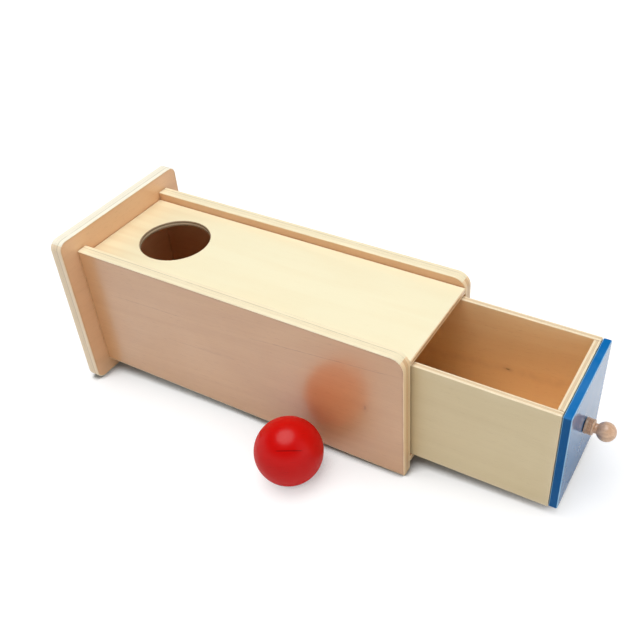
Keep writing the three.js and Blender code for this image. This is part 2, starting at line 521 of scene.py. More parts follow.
    def add_end_face(self, corners: list[int], normals: list[Vector]) -> None:
        """Adds a face of the drilled end, turned to agree with its normals.

        Args:
            corners: Numbers of its points.
            normals: Normal at each corner.
        """
        _, second, third = self.lie.value
        points = [self.maker.points[number] for number in corners]
        facing = (points[1] - points[0]).cross(points[2] - points[0])
        if facing.dot(normals[0]) < 0:
            corners, normals, points = corners[::-1], normals[::-1], points[::-1]
        places = []
        for point in points:
            through = (point[third] - self.low[third]) / self.thickness
            places.append(((point[second] - self.low[second]) * MM, through + END_LIFT))
        self.maker.face(corners, places, normals, Skin.EDGE.value)

    def build(self, case: CaseFrame, materials: Sequence[Material]) -> Piece:
        """Makes the board's object.

        Args:
            case: The frame that its lengths are measured in.
            materials: The materials of its low face, its high face, its edge and, if given, its holes.

        Returns:
            The new object, in the shared frame.
        """
        rings = self.eased_rings()
        loop = self.outline()
        flat = self.ease_steps
        skipped = (flat, len(loop) - 1) if self.bores else None
        turns = self.wall(loop, rings, Skin.EDGE, skipped)
        if skipped:
            self.drill_end(turns, *skipped)
        low_loops, high_loops = [turns[0]], [turns[-1]]
        hole_skin = Skin.HOLE if len(materials) > Skin.HOLE.value else Skin.EDGE
        for hole in self.holes:
            wall = self.wall(self.round_loop(hole), hole.rings, hole_skin)
            high_loops.append(wall[-1])
            if hole.blind:
                floor = wall[0][::-1]
                up = self.to_case_normal(Vector((0.0, 0.0)), (0.0, 1.0))
                places = [self.face_place(self.maker.points[number]) for number in floor]
                self.add_face(floor, places, [up] * len(floor), Skin.EDGE)
            else:
                low_loops.append(wall[0])
        self.cap(low_loops, Skin.LOW_FACE)
        self.cap(high_loops, Skin.HIGH_FACE)
        self.maker.points = [case.matrix @ point for point in self.maker.points]
        self.maker.normals = [case.turn @ normal for normal in self.maker.normals]
        return self.maker.build(self.name, materials)


# Geometry Nodes: turned and repeated pieces


class Wiring:
    """Adds and joins the nodes of one tree."""

    def __init__(self, tree: Tree) -> None:
        """Works on a tree."""
        self.tree = tree

    def add(self, kind: str, feeds: dict | None = None, **settings: object) -> bpy.types.Node:
        """Adds a node.

        Args:
            kind: The node's type.
            feeds: Its inputs by name or number, each a socket to join or a value to set.
            **settings: Its properties.

        Returns:
            The new node.
        """
        node = self.tree.nodes.new(kind)
        for key, value in settings.items():
            setattr(node, key, value)
        for key, feed in (feeds or {}).items():
            if isinstance(feed, Socket):
                self.join(feed, node.inputs[key])
            else:
                node.inputs[key].default_value = feed
        return node

    def find(self, kind: str) -> bpy.types.Node:
        """Gives the tree's first node of a kind."""
        return next(node for node in self.tree.nodes if node.type == kind)

    def join(self, start: Socket, end: Socket) -> None:
        """Joins an output to an input."""
        self.tree.links.new(start, end)

    def math(self, operation: str, a: object, b: object = 0.0, c: object = 0.0) -> Socket:
        """Adds a sum and gives its result."""
        return self.add("ShaderNodeMath", {0: a, 1: b, 2: c}, operation=operation).outputs[0]

    def times(self, a: object, b: object) -> Socket:
        """Gives one value times another."""
        return self.math("MULTIPLY", a, b)

    def minus(self, a: object, b: object) -> Socket:
        """Gives one value less another."""
        return self.math("SUBTRACT", a, b)

    def vector(self, operation: str, a: object, b: object = (0.0, 0.0, 0.0)) -> Socket:
        """Adds a vector sum and gives its vector."""
        return self.add("ShaderNodeVectorMath", {0: a, 1: b}, operation=operation).outputs[0]

    def length(self, a: object) -> Socket:
        """Gives the length of a vector."""
        return self.add("ShaderNodeVectorMath", {0: a}, operation="LENGTH").outputs["Value"]

    def split(self, a: object) -> Sockets:
        """Gives the three parts of a vector."""
        return self.add("ShaderNodeSeparateXYZ", {0: a}).outputs

    def blend(self, factor: object, a: object, b: object, mode: str = "MIX") -> Socket:
        """Mixes two colours and gives the result."""
        node = self.add("ShaderNodeMix", {0: factor, 6: a, 7: b}, data_type="RGBA", blend_type=mode)
        return node.outputs[2]

    def stain(self, colour: object, tint: Colour, mask: Socket, share: float) -> Socket:
        """Lays a share of a tint over a colour where a mask is 1, and gives the result."""
        return self.blend(self.times(mask, share), colour, tint)

    def ramp(self, value: object, start: float, end: float, low: float = 0.0, high: float = 1.0) -> Socket:
        """Takes a value smoothly from one range to another."""
        feeds = {0: value, 1: start, 2: end, 3: low, 4: high}
        return self.add("ShaderNodeMapRange", feeds, interpolation_type="SMOOTHSTEP").outputs[0]

    def fall(self, value: object, start: float, end: float) -> Socket:
        """Takes a value smoothly from 1 at a start to 0 at an end."""
        return self.ramp(value, start, end, 1.0, 0.0)

    def wave(self, angle: Socket) -> Socket:
        """Gives a sine wave between 0 and 1."""
        return self.math("MULTIPLY_ADD", self.math("SINE", angle), 0.5, 0.5)

    def noise(
        self, place: object, scale: object, detail: float, roughness: float = 0.5, distortion: float = 0.0
    ) -> Socket:
        """Adds a noise over a place multiplied by a scale, and gives its value.

        Args:
            place: Where it is looked up.
            scale: What the place is multiplied by.
            detail: How many octaves it has.
            roughness: How strong the finer octaves are.
            distortion: How far it is bent.

        Returns:
            Its value.
        """
        feeds = {"Vector": self.vector("MULTIPLY", place, scale), "Scale": 1.0, "Detail": detail}
        feeds |= {"Roughness": roughness, "Distortion": distortion}
        return self.add("ShaderNodeTexNoise", feeds).outputs[0]


def add_sockets(tree: Tree, side: str, kinds: Sequence[tuple[str, str]]) -> dict[str, str]:
    """Adds sockets to a tree's interface.

    Args:
        tree: The tree.
        side: INPUT or OUTPUT.
        kinds: The name and the kind of each socket.

    Returns:
        Each socket's identifier by its name.
    """
    identifiers = {}
    for name, kind in kinds:
        socket = tree.interface.new_socket(name, in_out=side, socket_type=f"NodeSocket{kind}")
        identifiers[name] = socket.identifier
    return identifiers


class TurnedTree:
    """Geometry Nodes that turn a profile of points about the X axis, with flutes or a thread if asked."""

    def __init__(self) -> None:
        """Builds the tree."""
        self.tree = bpy.data.node_groups.new("turned_piece", "GeometryNodeTree")
        sizes = ("Flutes", "Flute Depth", "Thread Depth", "Thread Pitch", "Thread Start", "Thread End")
        self.inputs = add_sockets(self.tree, "INPUT", [
            ("Profile", "Geometry"),
            ("Steps", "Int"),
            *((size, "Float") for size in sizes),
            ("Material", "Material"),
        ])
        add_sockets(self.tree, "OUTPUT", [("Piece", "Geometry")])
        self.wire()

    def wire(self) -> None:
        """Adds the nodes: a grid of profile points by steps, wrapped round the axis and closed."""
        w = Wiring(self.tree)
        given = w.add("NodeGroupInput").outputs
        size = w.add("GeometryNodeAttributeDomainSize", {0: given["Profile"]}, component="MESH")
        columns = w.add("FunctionNodeIntegerMath", {0: given["Steps"], 1: 1}, operation="ADD").outputs[0]
        counts = {"Vertices X": size.outputs["Point Count"], "Vertices Y": columns}
        grid = w.add("GeometryNodeMeshGrid", counts)
        index = w.add("GeometryNodeInputIndex").outputs[0]
        row = w.add("FunctionNodeIntegerMath", {0: index, 1: columns}, operation="DIVIDE_FLOOR").outputs[0]
        column = w.add("FunctionNodeIntegerMath", {0: index, 1: columns}, operation="MODULO").outputs[0]
        position = w.add("GeometryNodeInputPosition").outputs[0]
        rows = {0: given["Profile"], "Index": row}
        profile = w.add("GeometryNodeSampleIndex", rows, data_type="FLOAT_VECTOR")
        self.tree.links.new(position, next(s for s in profile.inputs if s.name == "Value" and s.enabled))
        place = w.split(next(s for s in profile.outputs if s.enabled))
        share = w.math("DIVIDE", column, given["Steps"])
        angle = w.times(share, 2 * math.pi)
        wave = w.math("COSINE", w.times(angle, given["Flutes"]))
        crest = w.math("POWER", w.math("MULTIPLY_ADD", wave, 0.5, 0.5), 3.0)
        flute = w.times(crest, given["Flute Depth"])
        turns = w.minus(w.math("DIVIDE", place[0], given["Thread Pitch"]), share)
        tooth = w.math("PINGPONG", turns, 0.5)
        after = w.math("GREATER_THAN", place[0], given["Thread Start"])
        before = w.math("LESS_THAN", place[0], given["Thread End"])
        depth = w.times(given["Thread Depth"], w.times(after, before))
        cut = w.times(w.times(tooth, 2.0), depth)
        touched = w.math("GREATER_THAN", place[1], 1e-9)
        eaten = w.times(w.math("ADD", w.times(flute, place[1]), cut), touched)
        radius = w.minus(place[1], eaten)
        wrapped = w.add("ShaderNodeCombineXYZ", {
            0: place[0],
            1: w.times(radius, w.math("COSINE", angle)),
            2: w.times(radius, w.math("SINE", angle)),
        }).outputs[0]
        moved = w.add("GeometryNodeSetPosition", {"Geometry": grid.outputs[0], "Position": wrapped})
        closed = w.add("GeometryNodeMergeByDistance", {"Geometry": moved.outputs[0], "Distance": 1e-7})
        smooth = w.add("GeometryNodeSetShadeSmooth", {"Geometry": closed.outputs[0], "Shade Smooth": True})
        feeds = {"Geometry": smooth.outputs[0], "Material": given["Material"]}
        dressed = w.add("GeometryNodeSetMaterial", feeds)
        w.add("NodeGroupOutput", {0: dressed.outputs[0]})

    def turn(self, name: str, profile: Sequence[Pair], values: dict[str, object]) -> Piece:
        """Turns a profile into a piece.

        Args:
            name: The piece's name.
            profile: Points along the axis and away from it, in millimetres, from one end to the other.
            values: The tree's inputs by name.

        Returns:
            The new object, along X in millimetres.
        """
        mesh = bpy.data.meshes.new(name + "_profile")
        points = [(along, away, 0.0) for along, away in profile]
        mesh.from_pydata(points, [(number, number + 1) for number in range(len(points) - 1)], [])
        plain = {"Flutes": 0.0, "Flute Depth": 0.0, "Thread Depth": 0.0, "Thread Pitch": 1.0}
        plain |= {"Thread Start": 0.0, "Thread End": 0.0}
        given = {self.inputs[key]: value for key, value in (plain | values).items()}
        return bake_nodes(name, mesh, self.tree, given)


class PegRowTree:
    """Geometry Nodes that repeat a peg at two heights on both sides of the case."""

    def __init__(self) -> None:
        """Builds the tree."""
        self.tree = bpy.data.node_groups.new("peg_rows", "GeometryNodeTree")
        kinds = [("Peg", "Geometry"), ("Across", "Float"), ("Up", "Float"), ("Material", "Material")]
        self.inputs = add_sockets(self.tree, "INPUT", kinds)
        add_sockets(self.tree, "OUTPUT", [("Pegs", "Geometry")])
        w = Wiring(self.tree)
        given = w.add("NodeGroupInput").outputs
        sizes = {"Size X": given["Up"], "Size Y": given["Across"]}
        grid = w.add("GeometryNodeMeshGrid", sizes | {"Vertices X": 2, "Vertices Y": 2})
        feeds = {"Geometry": grid.outputs[0], "Rotation": (0.0, math.pi / 2, 0.0)}
        upright = w.add("GeometryNodeTransform", feeds)
        feeds = {"Points": upright.outputs[0], "Instance": given["Peg"]}
        pegs = w.add("GeometryNodeInstanceOnPoints", feeds)
        real = w.add("GeometryNodeRealizeInstances", {"Geometry": pegs.outputs[0]})
        feeds = {"Geometry": real.outputs[0], "Material": given["Material"]}
        dressed = w.add("GeometryNodeSetMaterial", feeds)
        w.add("NodeGroupOutput", {0: dressed.outputs[0]})

    def repeat(self, name: str, peg: bpy.types.Mesh, values: dict[str, object]) -> Piece:
        """Repeats a peg that lies along X, in millimetres about the middle of its rows."""
        return bake_nodes(name, peg, self.tree, {self.inputs[key]: value for key, value in values.items()})


def bake_nodes(name: str, mesh: bpy.types.Mesh, tree: Tree, values: dict[str, object]) -> Piece:
    """Runs a Geometry Nodes tree on a mesh and keeps the result as a plain mesh.

    Args:
        name: The new object's name.
        mesh: What goes into the tree.
        tree: The tree.
        values: Its inputs by socket identifier.

    Returns:
        The new object, with faces outwards and no modifier.
    """
    source = bpy.data.objects.new(name + "_source", mesh)
    show(source)
    modifier = source.modifiers.new("shape", "NODES")
    modifier.node_group = tree
    for identifier, value in values.items():
        modifier[identifier] = value
    bpy.context.view_layer.update()
    made = bpy.data.meshes.new_from_object(source.evaluated_get(bpy.context.evaluated_depsgraph_get()))
    bpy.data.objects.remove(source)
    made.name = name
    if signed_volume(made) < 0:
        made.flip_normals()
    piece = bpy.data.objects.new(name, made)
    show(piece)
    return piece


def signed_volume(mesh: bpy.types.Mesh) -> float:
    """The volume inside a closed mesh, below 0 where it is inside out.

    Args:
        mesh: The mesh.

    Returns:
        The volume.
    """
    mesh.calc_loop_triangles()
    volume = 0.0
    for triangle in mesh.loop_triangles:
        a, b, c = (mesh.vertices[number].co for number in triangle.vertices)
        volume += a.dot(b.cross(c)) / 6
    return volume


def arc(middle: Pair, radius: float, start: float, end: float, steps: int) -> list[Pair]:
    """Points of an arc in a turned profile.

    Args:
        middle: Its middle, along and away from the axis.
        radius: Its radius.
        start: Its first angle in degrees, 0 along the axis and 90 away from it.
        end: Its last angle in degrees.
        steps: How many steps it has.

    Returns:
        The points, from start to end.
    """
    points = []
    for step in range(steps + 1):
        angle = math.radians(start + (end - start) * step / steps)
        points.append((middle[0] + radius * math.cos(angle), middle[1] + radius * math.sin(angle)))
    return points


# Finishes


class Effects:
    """Shader node groups that the finishes share, each built once."""

    def __init__(self) -> None:
        """Builds every group."""
        self.grain = self.grain_group()
        self.layers = self.layers_group()
        self.border_tone = self.border_tone_group()
        self.knot = self.knot_group()
        self.line = self.line_group()
        self.cloud = self.cloud_group()

    @staticmethod
    def start(
        name: str, vectors: Sequence[str], values: Sequence[str], outputs: Sequence[str]
    ) -> tuple[Tree, Wiring]:
        """Starts a group with named sockets.

        Args:
            name: The group's name.
            vectors: The names of its vector inputs.
            values: The names of its number inputs.
            outputs: The names of its number outputs.

        Returns:
            The group's tree and its wiring.
        """
        tree = bpy.data.node_groups.new(name, "ShaderNodeTree")
        add_sockets(tree, "INPUT", [(title, "Vector") for title in vectors])
        add_sockets(tree, "INPUT", [(title, "Float") for title in values])
        add_sockets(tree, "OUTPUT", [(title, "Float") for title in outputs])
        return tree, Wiring(tree)

    def grain_group(self) -> Tree:
        """Grain of a veneer or a turned piece: broad figure, fine streaks, short flecks and their height.

        Returns:
            The node group.
        """
        vectors = ("Place", "Figure Scale", "Streak Scale", "Fleck Scale")
        tree, w = self.start("wood_grain", vectors, ("Bands",), ("Figure", "Streak", "Fleck", "Height"))
        given = w.add("NodeGroupInput").outputs
        broad = w.noise(given["Place"], given["Figure Scale"], 2.0, 0.45, 0.4)
        figure = w.wave(w.times(broad, given["Bands"]))
        streak = w.noise(given["Place"], given["Streak Scale"], 4.0, 0.6)
        fleck = w.ramp(w.noise(given["Place"], given["Fleck Scale"], 2.0), 0.6, 0.74)
        height = w.minus(streak, w.times(fleck, 0.5))
        w.add("NodeGroupOutput", {"Figure": figure, "Streak": streak, "Fleck": fleck, "Height": height})
        return tree

    def layers_group(self) -> Tree:
        """Ply edge: cross layers, the dark glue lines between them, pores, and where it is a board's end.

        Returns:
            The node group.
        """
        values = ("Layers", "Line Width", "Wave")
        tree, w = self.start("ply_layers", ("Place",), values, ("Cross", "Line", "Pore", "End"))
        given = w.add("NodeGroupInput").outputs
        lifted = w.split(given["Place"])[1]
        end = w.math("GREATER_THAN", lifted, END_LIFT - 0.5)
        height = w.math("MULTIPLY_ADD", end, -END_LIFT, lifted)
        drift = w.noise(given["Place"], (70.0, 2.0, 0.0), 2.0)
        through = w.math("MULTIPLY_ADD", w.minus(drift, 0.5), given["Wave"], height)
        count = w.times(through, given["Layers"])
        cross = w.math("MODULO", w.math("FLOOR", count), 2.0)
        part = w.math("FRACT", count)
        away = w.math("DIVIDE", w.math("MINIMUM", part, w.minus(1.0, part)), given["Layers"])
        widths = w.math("DIVIDE", away, given["Line Width"])
        near = w.minus(1.0, w.math("SMOOTH_MIN", widths, 1.0, 0.2))
        inner = w.times(w.ramp(height, 0.1, 0.16), w.fall(height, 0.84, 0.9))
        breaks = w.ramp(w.noise(given["Place"], (140.0, 1.0, 3.0), 2.0), 0.25, 0.5, 0.35, 1.0)
        uneven = w.times(breaks, w.ramp(height, 0.35, 0.6, 0.2, 1.0))
        line = w.times(w.times(w.math("MAXIMUM", near, 0.0), inner), uneven)
        pores = w.ramp(w.noise(given["Place"], (3200.0, 14.0, 0.0), 2.0), 0.5, 0.7)
        w.add("NodeGroupOutput", {
            "Cross": w.math("ABSOLUTE", cross),
            "Line": line,
            "Pore": w.times(pores, cross),
            "End": end,
        })
        return tree

    def border_tone_group(self) -> Tree:
        """Border of a face: a patchy mask that grows towards the board's edges.

        Returns:
            The node group.
        """
        tree, w = self.start("border_tone_mask", ("Place", "Half Size"), ("Reach",), ("Border Tone",))
        given = w.add("NodeGroupInput").outputs
        left = w.split(w.vector("SUBTRACT", given["Half Size"], w.vector("ABSOLUTE", given["Place"])))
        away = w.math("DIVIDE", w.math("MINIMUM", left[0], left[1]), given["Reach"])
        patchy = w.ramp(w.noise(given["Place"], (90.0, 90.0, 0.0), 3.0), 0.3, 0.7, 0.35, 1.0)
        w.add("NodeGroupOutput", {"Border Tone": w.times(w.fall(away, 0.0, 1.0), patchy)})
        return tree

    def knot_group(self) -> Tree:
        """A pin knot: its dark heart, and the grain that it darkens round it.

        Returns:
            The node group.
        """
        tree, w = self.start("pin_knot", ("Place", "Middle", "Size"), (), ("Heart", "Halo"))
        given = w.add("NodeGroupInput").outputs
        away = w.vector("DIVIDE", w.vector("SUBTRACT", given["Place"], given["Middle"]), given["Size"])
        shake = w.minus(w.noise(given["Place"], (700.0, 700.0, 0.0), 2.0), 0.5)
        reach = w.math("ADD", w.length(away), shake)
        w.add("NodeGroupOutput", {"Heart": w.fall(reach, 0.5, 1.1), "Halo": w.fall(reach, 0.8, 3.5)})
        return tree

    def line_group(self) -> Tree:
        """One long line of grain: a mask that is 1 on the line, wanders a little and fades at both ends.

        Returns:
            The node group.
        """
        tree, w = self.start("grain_line", ("Place",), (), ("Line",))
        given = w.add("NodeGroupInput").outputs
        place = w.split(given["Place"])
        wander = w.minus(w.noise(given["Place"], (3.0, 0.0, 0.0), 3.0), 0.5)
        across = w.math("ABSOLUTE", w.math("MULTIPLY_ADD", wander, 3.0, place[1]))
        ends = w.fall(w.math("ABSOLUTE", place[0]), 0.5, 1.0)
        breaks = w.ramp(w.noise(given["Place"], (9.0, 0.2, 0.0), 2.0), 0.35, 0.6, 0.3, 1.0)
        line = w.times(w.fall(across, 0.0, 1.0), w.times(ends, breaks))
        w.add("NodeGroupOutput", {"Line": line})
        return tree

    def cloud_group(self) -> Tree:
        """Uneven lacquer or paint: slow clouds, and a fine ripple for its height.

        Returns:
            The node group.
        """
        tree, w = self.start("uneven_coat", ("Place",), ("Cloud Scale", "Ripple Scale"), ("Cloud", "Ripple"))
        given = w.add("NodeGroupInput").outputs
        cloud = w.noise(given["Place"], given["Cloud Scale"], 3.0, 0.55)
        ripple = w.noise(given["Place"], given["Ripple Scale"], 1.0)
        w.add("NodeGroupOutput", {"Cloud": cloud, "Ripple": ripple})
        return tree


@dataclass(frozen=True)
class GrainScale:
    """How fine a grain is per metre in its figure, streaks and flecks, and the bands of its figure."""

    figure: Triple
    streak: Triple
    fleck: Triple
    bands: float


@dataclass(frozen=True)
class Knot:
    """A pin knot on a face: its middle along and across the grain, its half size and its depth."""

    middle: Pair
    size: Pair
    share: float
    halo_share: float = 0.5


@dataclass(frozen=True)
class GrainLine:
    """One long line of darker grain on a face: its middle, its rise in degrees, its half size and depth."""

    middle: Pair
    rise: float
    size: Pair
    share: float


@dataclass(frozen=True)
class FaceMarks:
    """What sets one face's wood apart: the slant of its grain in degrees, its knots and its grain lines."""

    slant: float = 0.0
    knots: tuple[Knot, ...] = ()
    lines: tuple[GrainLine, ...] = ()


@dataclass(frozen=True)
class Gloss:
    """How a surface shines: its own roughness, and the lacquer or paint coat over it."""

    roughness: float
    uneven: float
    coat: float
    coat_roughness: float
    coat_ior: float
    bump: float
    specular: float = 0.5
    least_roughness: float = 0.02
    relief: float = 0.0002


BLACK: Colour = (0.0, 0.0, 0.0, 1.0)
WHITE: Colour = (1.0, 1.0, 1.0, 1.0)
KNOT_HEART = paint_chip(74, 44, 26)
SEED_STEP: Triple = (0.731, 0.417, 1.3)
VENEER_GRAIN = GrainScale((5.0, 32.0, 1.0), (11.0, 700.0, 1.0), (190.0, 2100.0, 1.0), 26.0)
EDGE_GRAIN = GrainScale((14.0, 1.6, 1.0), (40.0, 9.0, 1.0), (420.0, 26.0, 1.0), 14.0)
BALL_GRAIN = GrainScale((40.0, 40.0, 90.0), (90.0, 90.0, 900.0), (160.0, 160.0, 1500.0), 12.0)
TURNED_GRAIN = GrainScale((60.0, 260.0, 260.0), (90.0, 1300.0, 1300.0), (500.0, 3600.0, 3600.0), 16.0)
LACQUER = Gloss(0.45, 0.06, coat=1.0, coat_roughness=0.25, coat_ior=2.1, bump=0.05)
TOP_LACQUER = Gloss(0.45, 0.06, coat=0.6, coat_roughness=0.22, coat_ior=1.5, bump=0.1)
INSIDE_LACQUER = Gloss(0.5, 0.06, coat=0.5, coat_roughness=0.3, coat_ior=1.5, bump=0.12)
EDGE_LACQUER = Gloss(0.45, 0.06, coat=0.5, coat_roughness=0.25, coat_ior=1.5, bump=0.25)
PAINT_FACE = Gloss(0.3, 0.04, coat=1.0, coat_roughness=0.03, coat_ior=1.5, bump=0.008, specular=0.05)
PAINT_EDGE = Gloss(0.4, 0.05, coat=0.1, coat_roughness=0.15, coat_ior=1.5, bump=0.03, specular=0.06)
BALL_PAINT = Gloss(0.42, 0.04, coat=0.5, coat_roughness=0.27, coat_ior=1.48, bump=0.04, specular=0.0)
KNOB_LACQUER = Gloss(0.4, 0.05, coat=1.0, coat_roughness=0.36, coat_ior=1.7, bump=0.12, specular=0.3)
BARE_WOOD = Gloss(0.7, 0.06, coat=0.0, coat_roughness=0.3, coat_ior=1.5, bump=0.3)
PLATED_STEEL = Gloss(0.32, 0.08, coat=0.0, coat_roughness=0.1, coat_ior=1.5, bump=0.1)


class Surface:
    """A material that is being built: a Principled BSDF with its wiring."""

    def __init__(self, name: str, gloss: Gloss, effects: Effects) -> None:
        """Starts a material.

        Args:
            name: The material's name.
            gloss: How it shines.
            effects: The shared node groups.
        """
        self.material = bpy.data.materials.new(name)
        self.material.use_nodes = True
        self.wiring = Wiring(self.material.node_tree)
        self.shader = self.wiring.find("BSDF_PRINCIPLED")
        self.shader.inputs["Coat Weight"].default_value = gloss.coat
        self.shader.inputs["Coat Roughness"].default_value = gloss.coat_roughness
        self.shader.inputs["Coat IOR"].default_value = gloss.coat_ior
        self.shader.inputs["Specular IOR Level"].default_value = gloss.specular
        self.gloss = gloss
        self.effects = effects

    def group(self, tree: Tree, feeds: dict) -> Sockets:
        """Places a shared effect in the material, with its inputs fed by name, and gives its outputs."""
        return self.wiring.add("ShaderNodeGroup", feeds, node_tree=tree).outputs

    def grain(self, place: Socket, scale: GrainScale) -> Sockets:
        """Places the grain of wood and gives its outputs."""
        return self.group(self.effects.grain, {
            "Place": place,
            "Figure Scale": scale.figure,
            "Streak Scale": scale.streak,
            "Fleck Scale": scale.fleck,
            "Bands": scale.bands,
        })

    def cloud(self, place: Socket, clouds: float, ripples: float) -> Sockets:
        """Places the unevenness of a coat, of a scale per metre, and gives its outputs."""
        feeds = {"Place": place, "Cloud Scale": clouds, "Ripple Scale": ripples}
        return self.group(self.effects.cloud, feeds)

    def border_tone(self, place: Socket, board: Board, reach: float) -> Socket:
        """Places the border mask of a board's face and gives it."""
        feeds = {"Place": place, "Half Size": (*board.half_size, 0.0), "Reach": reach}
        return self.group(self.effects.border_tone, feeds)["Border Tone"]

    def board_place(self) -> Socket:
        """The board's own UV map."""
        return self.wiring.add("ShaderNodeUVMap", uv_map="ply").outputs[0]

    def object_place(self, middle: Triple = (0.0, 0.0, 0.0), turn: Triple = (0.0, 0.0, 0.0)) -> Socket:
        """Object coordinates, centred on a point and turned.

        Args:
            middle: The point that becomes the origin.
            turn: The turn of the pattern about X, Y and Z.

        Returns:
            The mapped coordinates.
        """
        raw = self.wiring.add("ShaderNodeTexCoord").outputs["Object"]
        feeds = {"Vector": self.wiring.vector("SUBTRACT", raw, middle), "Rotation": turn}
        return self.wiring.add("ShaderNodeMapping", feeds, vector_type="POINT").outputs[0]

    def shifted(self, place: Socket, seed: float, slant: float) -> Socket:
        """Moves and slants a pattern, so that no two boards show the same wood."""
        feeds = {
            "Vector": place,
            "Location": tuple(seed * step for step in SEED_STEP),
            "Rotation": (0.0, 0.0, -math.radians(slant)),
        }
        return self.wiring.add("ShaderNodeMapping", feeds, vector_type="POINT").outputs[0]

    def finish(self, colour: Socket, cloud: Socket, height: Socket) -> Material:
        """Feeds the shader and gives the material.

        Args:
            colour: Base colour.
            cloud: Unevenness of the roughness, 0 to 1.
            height: Height of the fine relief.

        Returns:
            The finished material.
        """
        w, gloss = self.wiring, self.gloss
        low = max(gloss.roughness - gloss.uneven, gloss.least_roughness)
        rough = w.ramp(cloud, 0.3, 0.7, low, gloss.roughness + gloss.uneven)
        bump = w.add("ShaderNodeBump", {"Height": height, "Strength": gloss.bump, "Distance": gloss.relief})
        for feed, name in ((colour, "Base Color"), (rough, "Roughness"), (bump.outputs[0], "Normal")):
            w.join(feed, self.shader.inputs[name])
        return self.material


@dataclass(frozen=True)
class VeneerFinish:
    """A lacquered face veneer."""

    effects: Effects
    name: str
    pale: Colour
    deep: Colour
    fleck: Colour
    border_colour: Colour
    gloss: Gloss
    figure: float
    streak: float
    flecks: float
    border_tone: float = 0.3
    reach: float = 0.006

    def dress(self, board: Board, seed: float, marks: FaceMarks = FaceMarks()) -> Material:
        """Makes the face material of one board.

        Args:
            board: The board, for its size.
            seed: Which part of the wood it is cut from.
            marks: The slant of its grain, its knots and its grain lines.

        Returns:
            The material.
        """
        surface = Surface(f"{board.name}_{self.name}", self.gloss, self.effects)
        w = surface.wiring
        place = surface.board_place()
        wood = surface.shifted(place, seed, marks.slant)
        grain = surface.grain(wood, VENEER_GRAIN)
        cloud = surface.cloud(wood, clouds=24.0, ripples=700.0)
        streaks = w.times(w.ramp(grain["Streak"], 0.3, 0.7), self.streak)
        shade = w.math("ADD", w.times(grain["Figure"], self.figure), streaks)
        slow = w.times(w.minus(cloud["Cloud"], 0.5), 0.5)
        colour = w.blend(w.math("ADD", shade, slow), self.pale, self.deep)
        colour = w.stain(colour, self.fleck, grain["Fleck"], self.flecks)
        for line in marks.lines:
            feeds = {
                "Vector": place,
                "Location": (line.middle[0] * MM, line.middle[1] * MM, 0.0),
                "Rotation": (0.0, 0.0, math.radians(line.rise)),
                "Scale": (line.size[0] * MM, line.size[1] * MM, 1.0),
            }
            own = w.add("ShaderNodeMapping", feeds, vector_type="TEXTURE").outputs[0]
            drawn = surface.group(self.effects.line, {"Place": own})["Line"]
            colour = w.stain(colour, self.fleck, drawn, line.share)
        for knot in marks.knots:
            pin = surface.group(self.effects.knot, {
                "Place": place,
                "Middle": (knot.middle[0] * MM, knot.middle[1] * MM, 0.0),
                "Size": (knot.size[0] * MM, knot.size[1] * MM, 1.0),
            })
            colour = w.stain(colour, self.fleck, pin["Halo"], knot.share * knot.halo_share)
            colour = w.stain(colour, KNOT_HEART, pin["Heart"], knot.share)
        # The face takes its border colour towards its edges: darker on the side and plate veneers, paler on
        # the others.
        colour = w.stain(colour, self.border_colour, surface.border_tone(place, board, self.reach), self.border_tone)
        return surface.finish(colour, cloud["Cloud"], grain["Height"])


@dataclass(frozen=True)
class PlyEdgeFinish:
    """The sanded and lacquered edge of a ply board, with its layers showing."""

    effects: Effects
    name: str
    long_grain: Colour
    cross_grain: Colour
    line: Colour
    end_tint: Colour
    line_width: float
    line_share: float
    cross_share: float
    end_share: float = 1.0
    layers: float = 3.0
    wave: float = 0.05
    streak: float = 0.25
    pores: float = 0.3

    def dress(self) -> Material:
        """Makes the edge material.

        Returns:
            The material.
        """
        surface = Surface(self.name, EDGE_LACQUER, self.effects)
        w = surface.wiring
        place = surface.board_place()
        feeds = {"Place": place, "Layers": self.layers, "Line Width": self.line_width, "Wave": self.wave}
        ply = surface.group(self.effects.layers, feeds)
        grain = surface.grain(place, EDGE_GRAIN)
        cloud = surface.cloud(surface.object_place(), clouds=60.0, ripples=900.0)
        share = w.math("MAXIMUM", w.times(ply["End"], self.end_share), self.cross_share)
        colour = w.blend(w.times(ply["Cross"], share), self.long_grain, self.cross_grain)
        colour = w.stain(colour, self.cross_grain, w.ramp(grain["Streak"], 0.35, 0.7), self.streak)
        colour = w.stain(colour, self.line, ply["Pore"], self.pores)
        colour = w.stain(colour, self.line, ply["Line"], self.line_share)
        colour = w.blend(ply["End"], colour, self.end_tint, "MULTIPLY")
        height = w.minus(grain["Streak"], w.math("ADD", ply["Line"], ply["Pore"]))
        return surface.finish(colour, cloud["Cloud"], height)


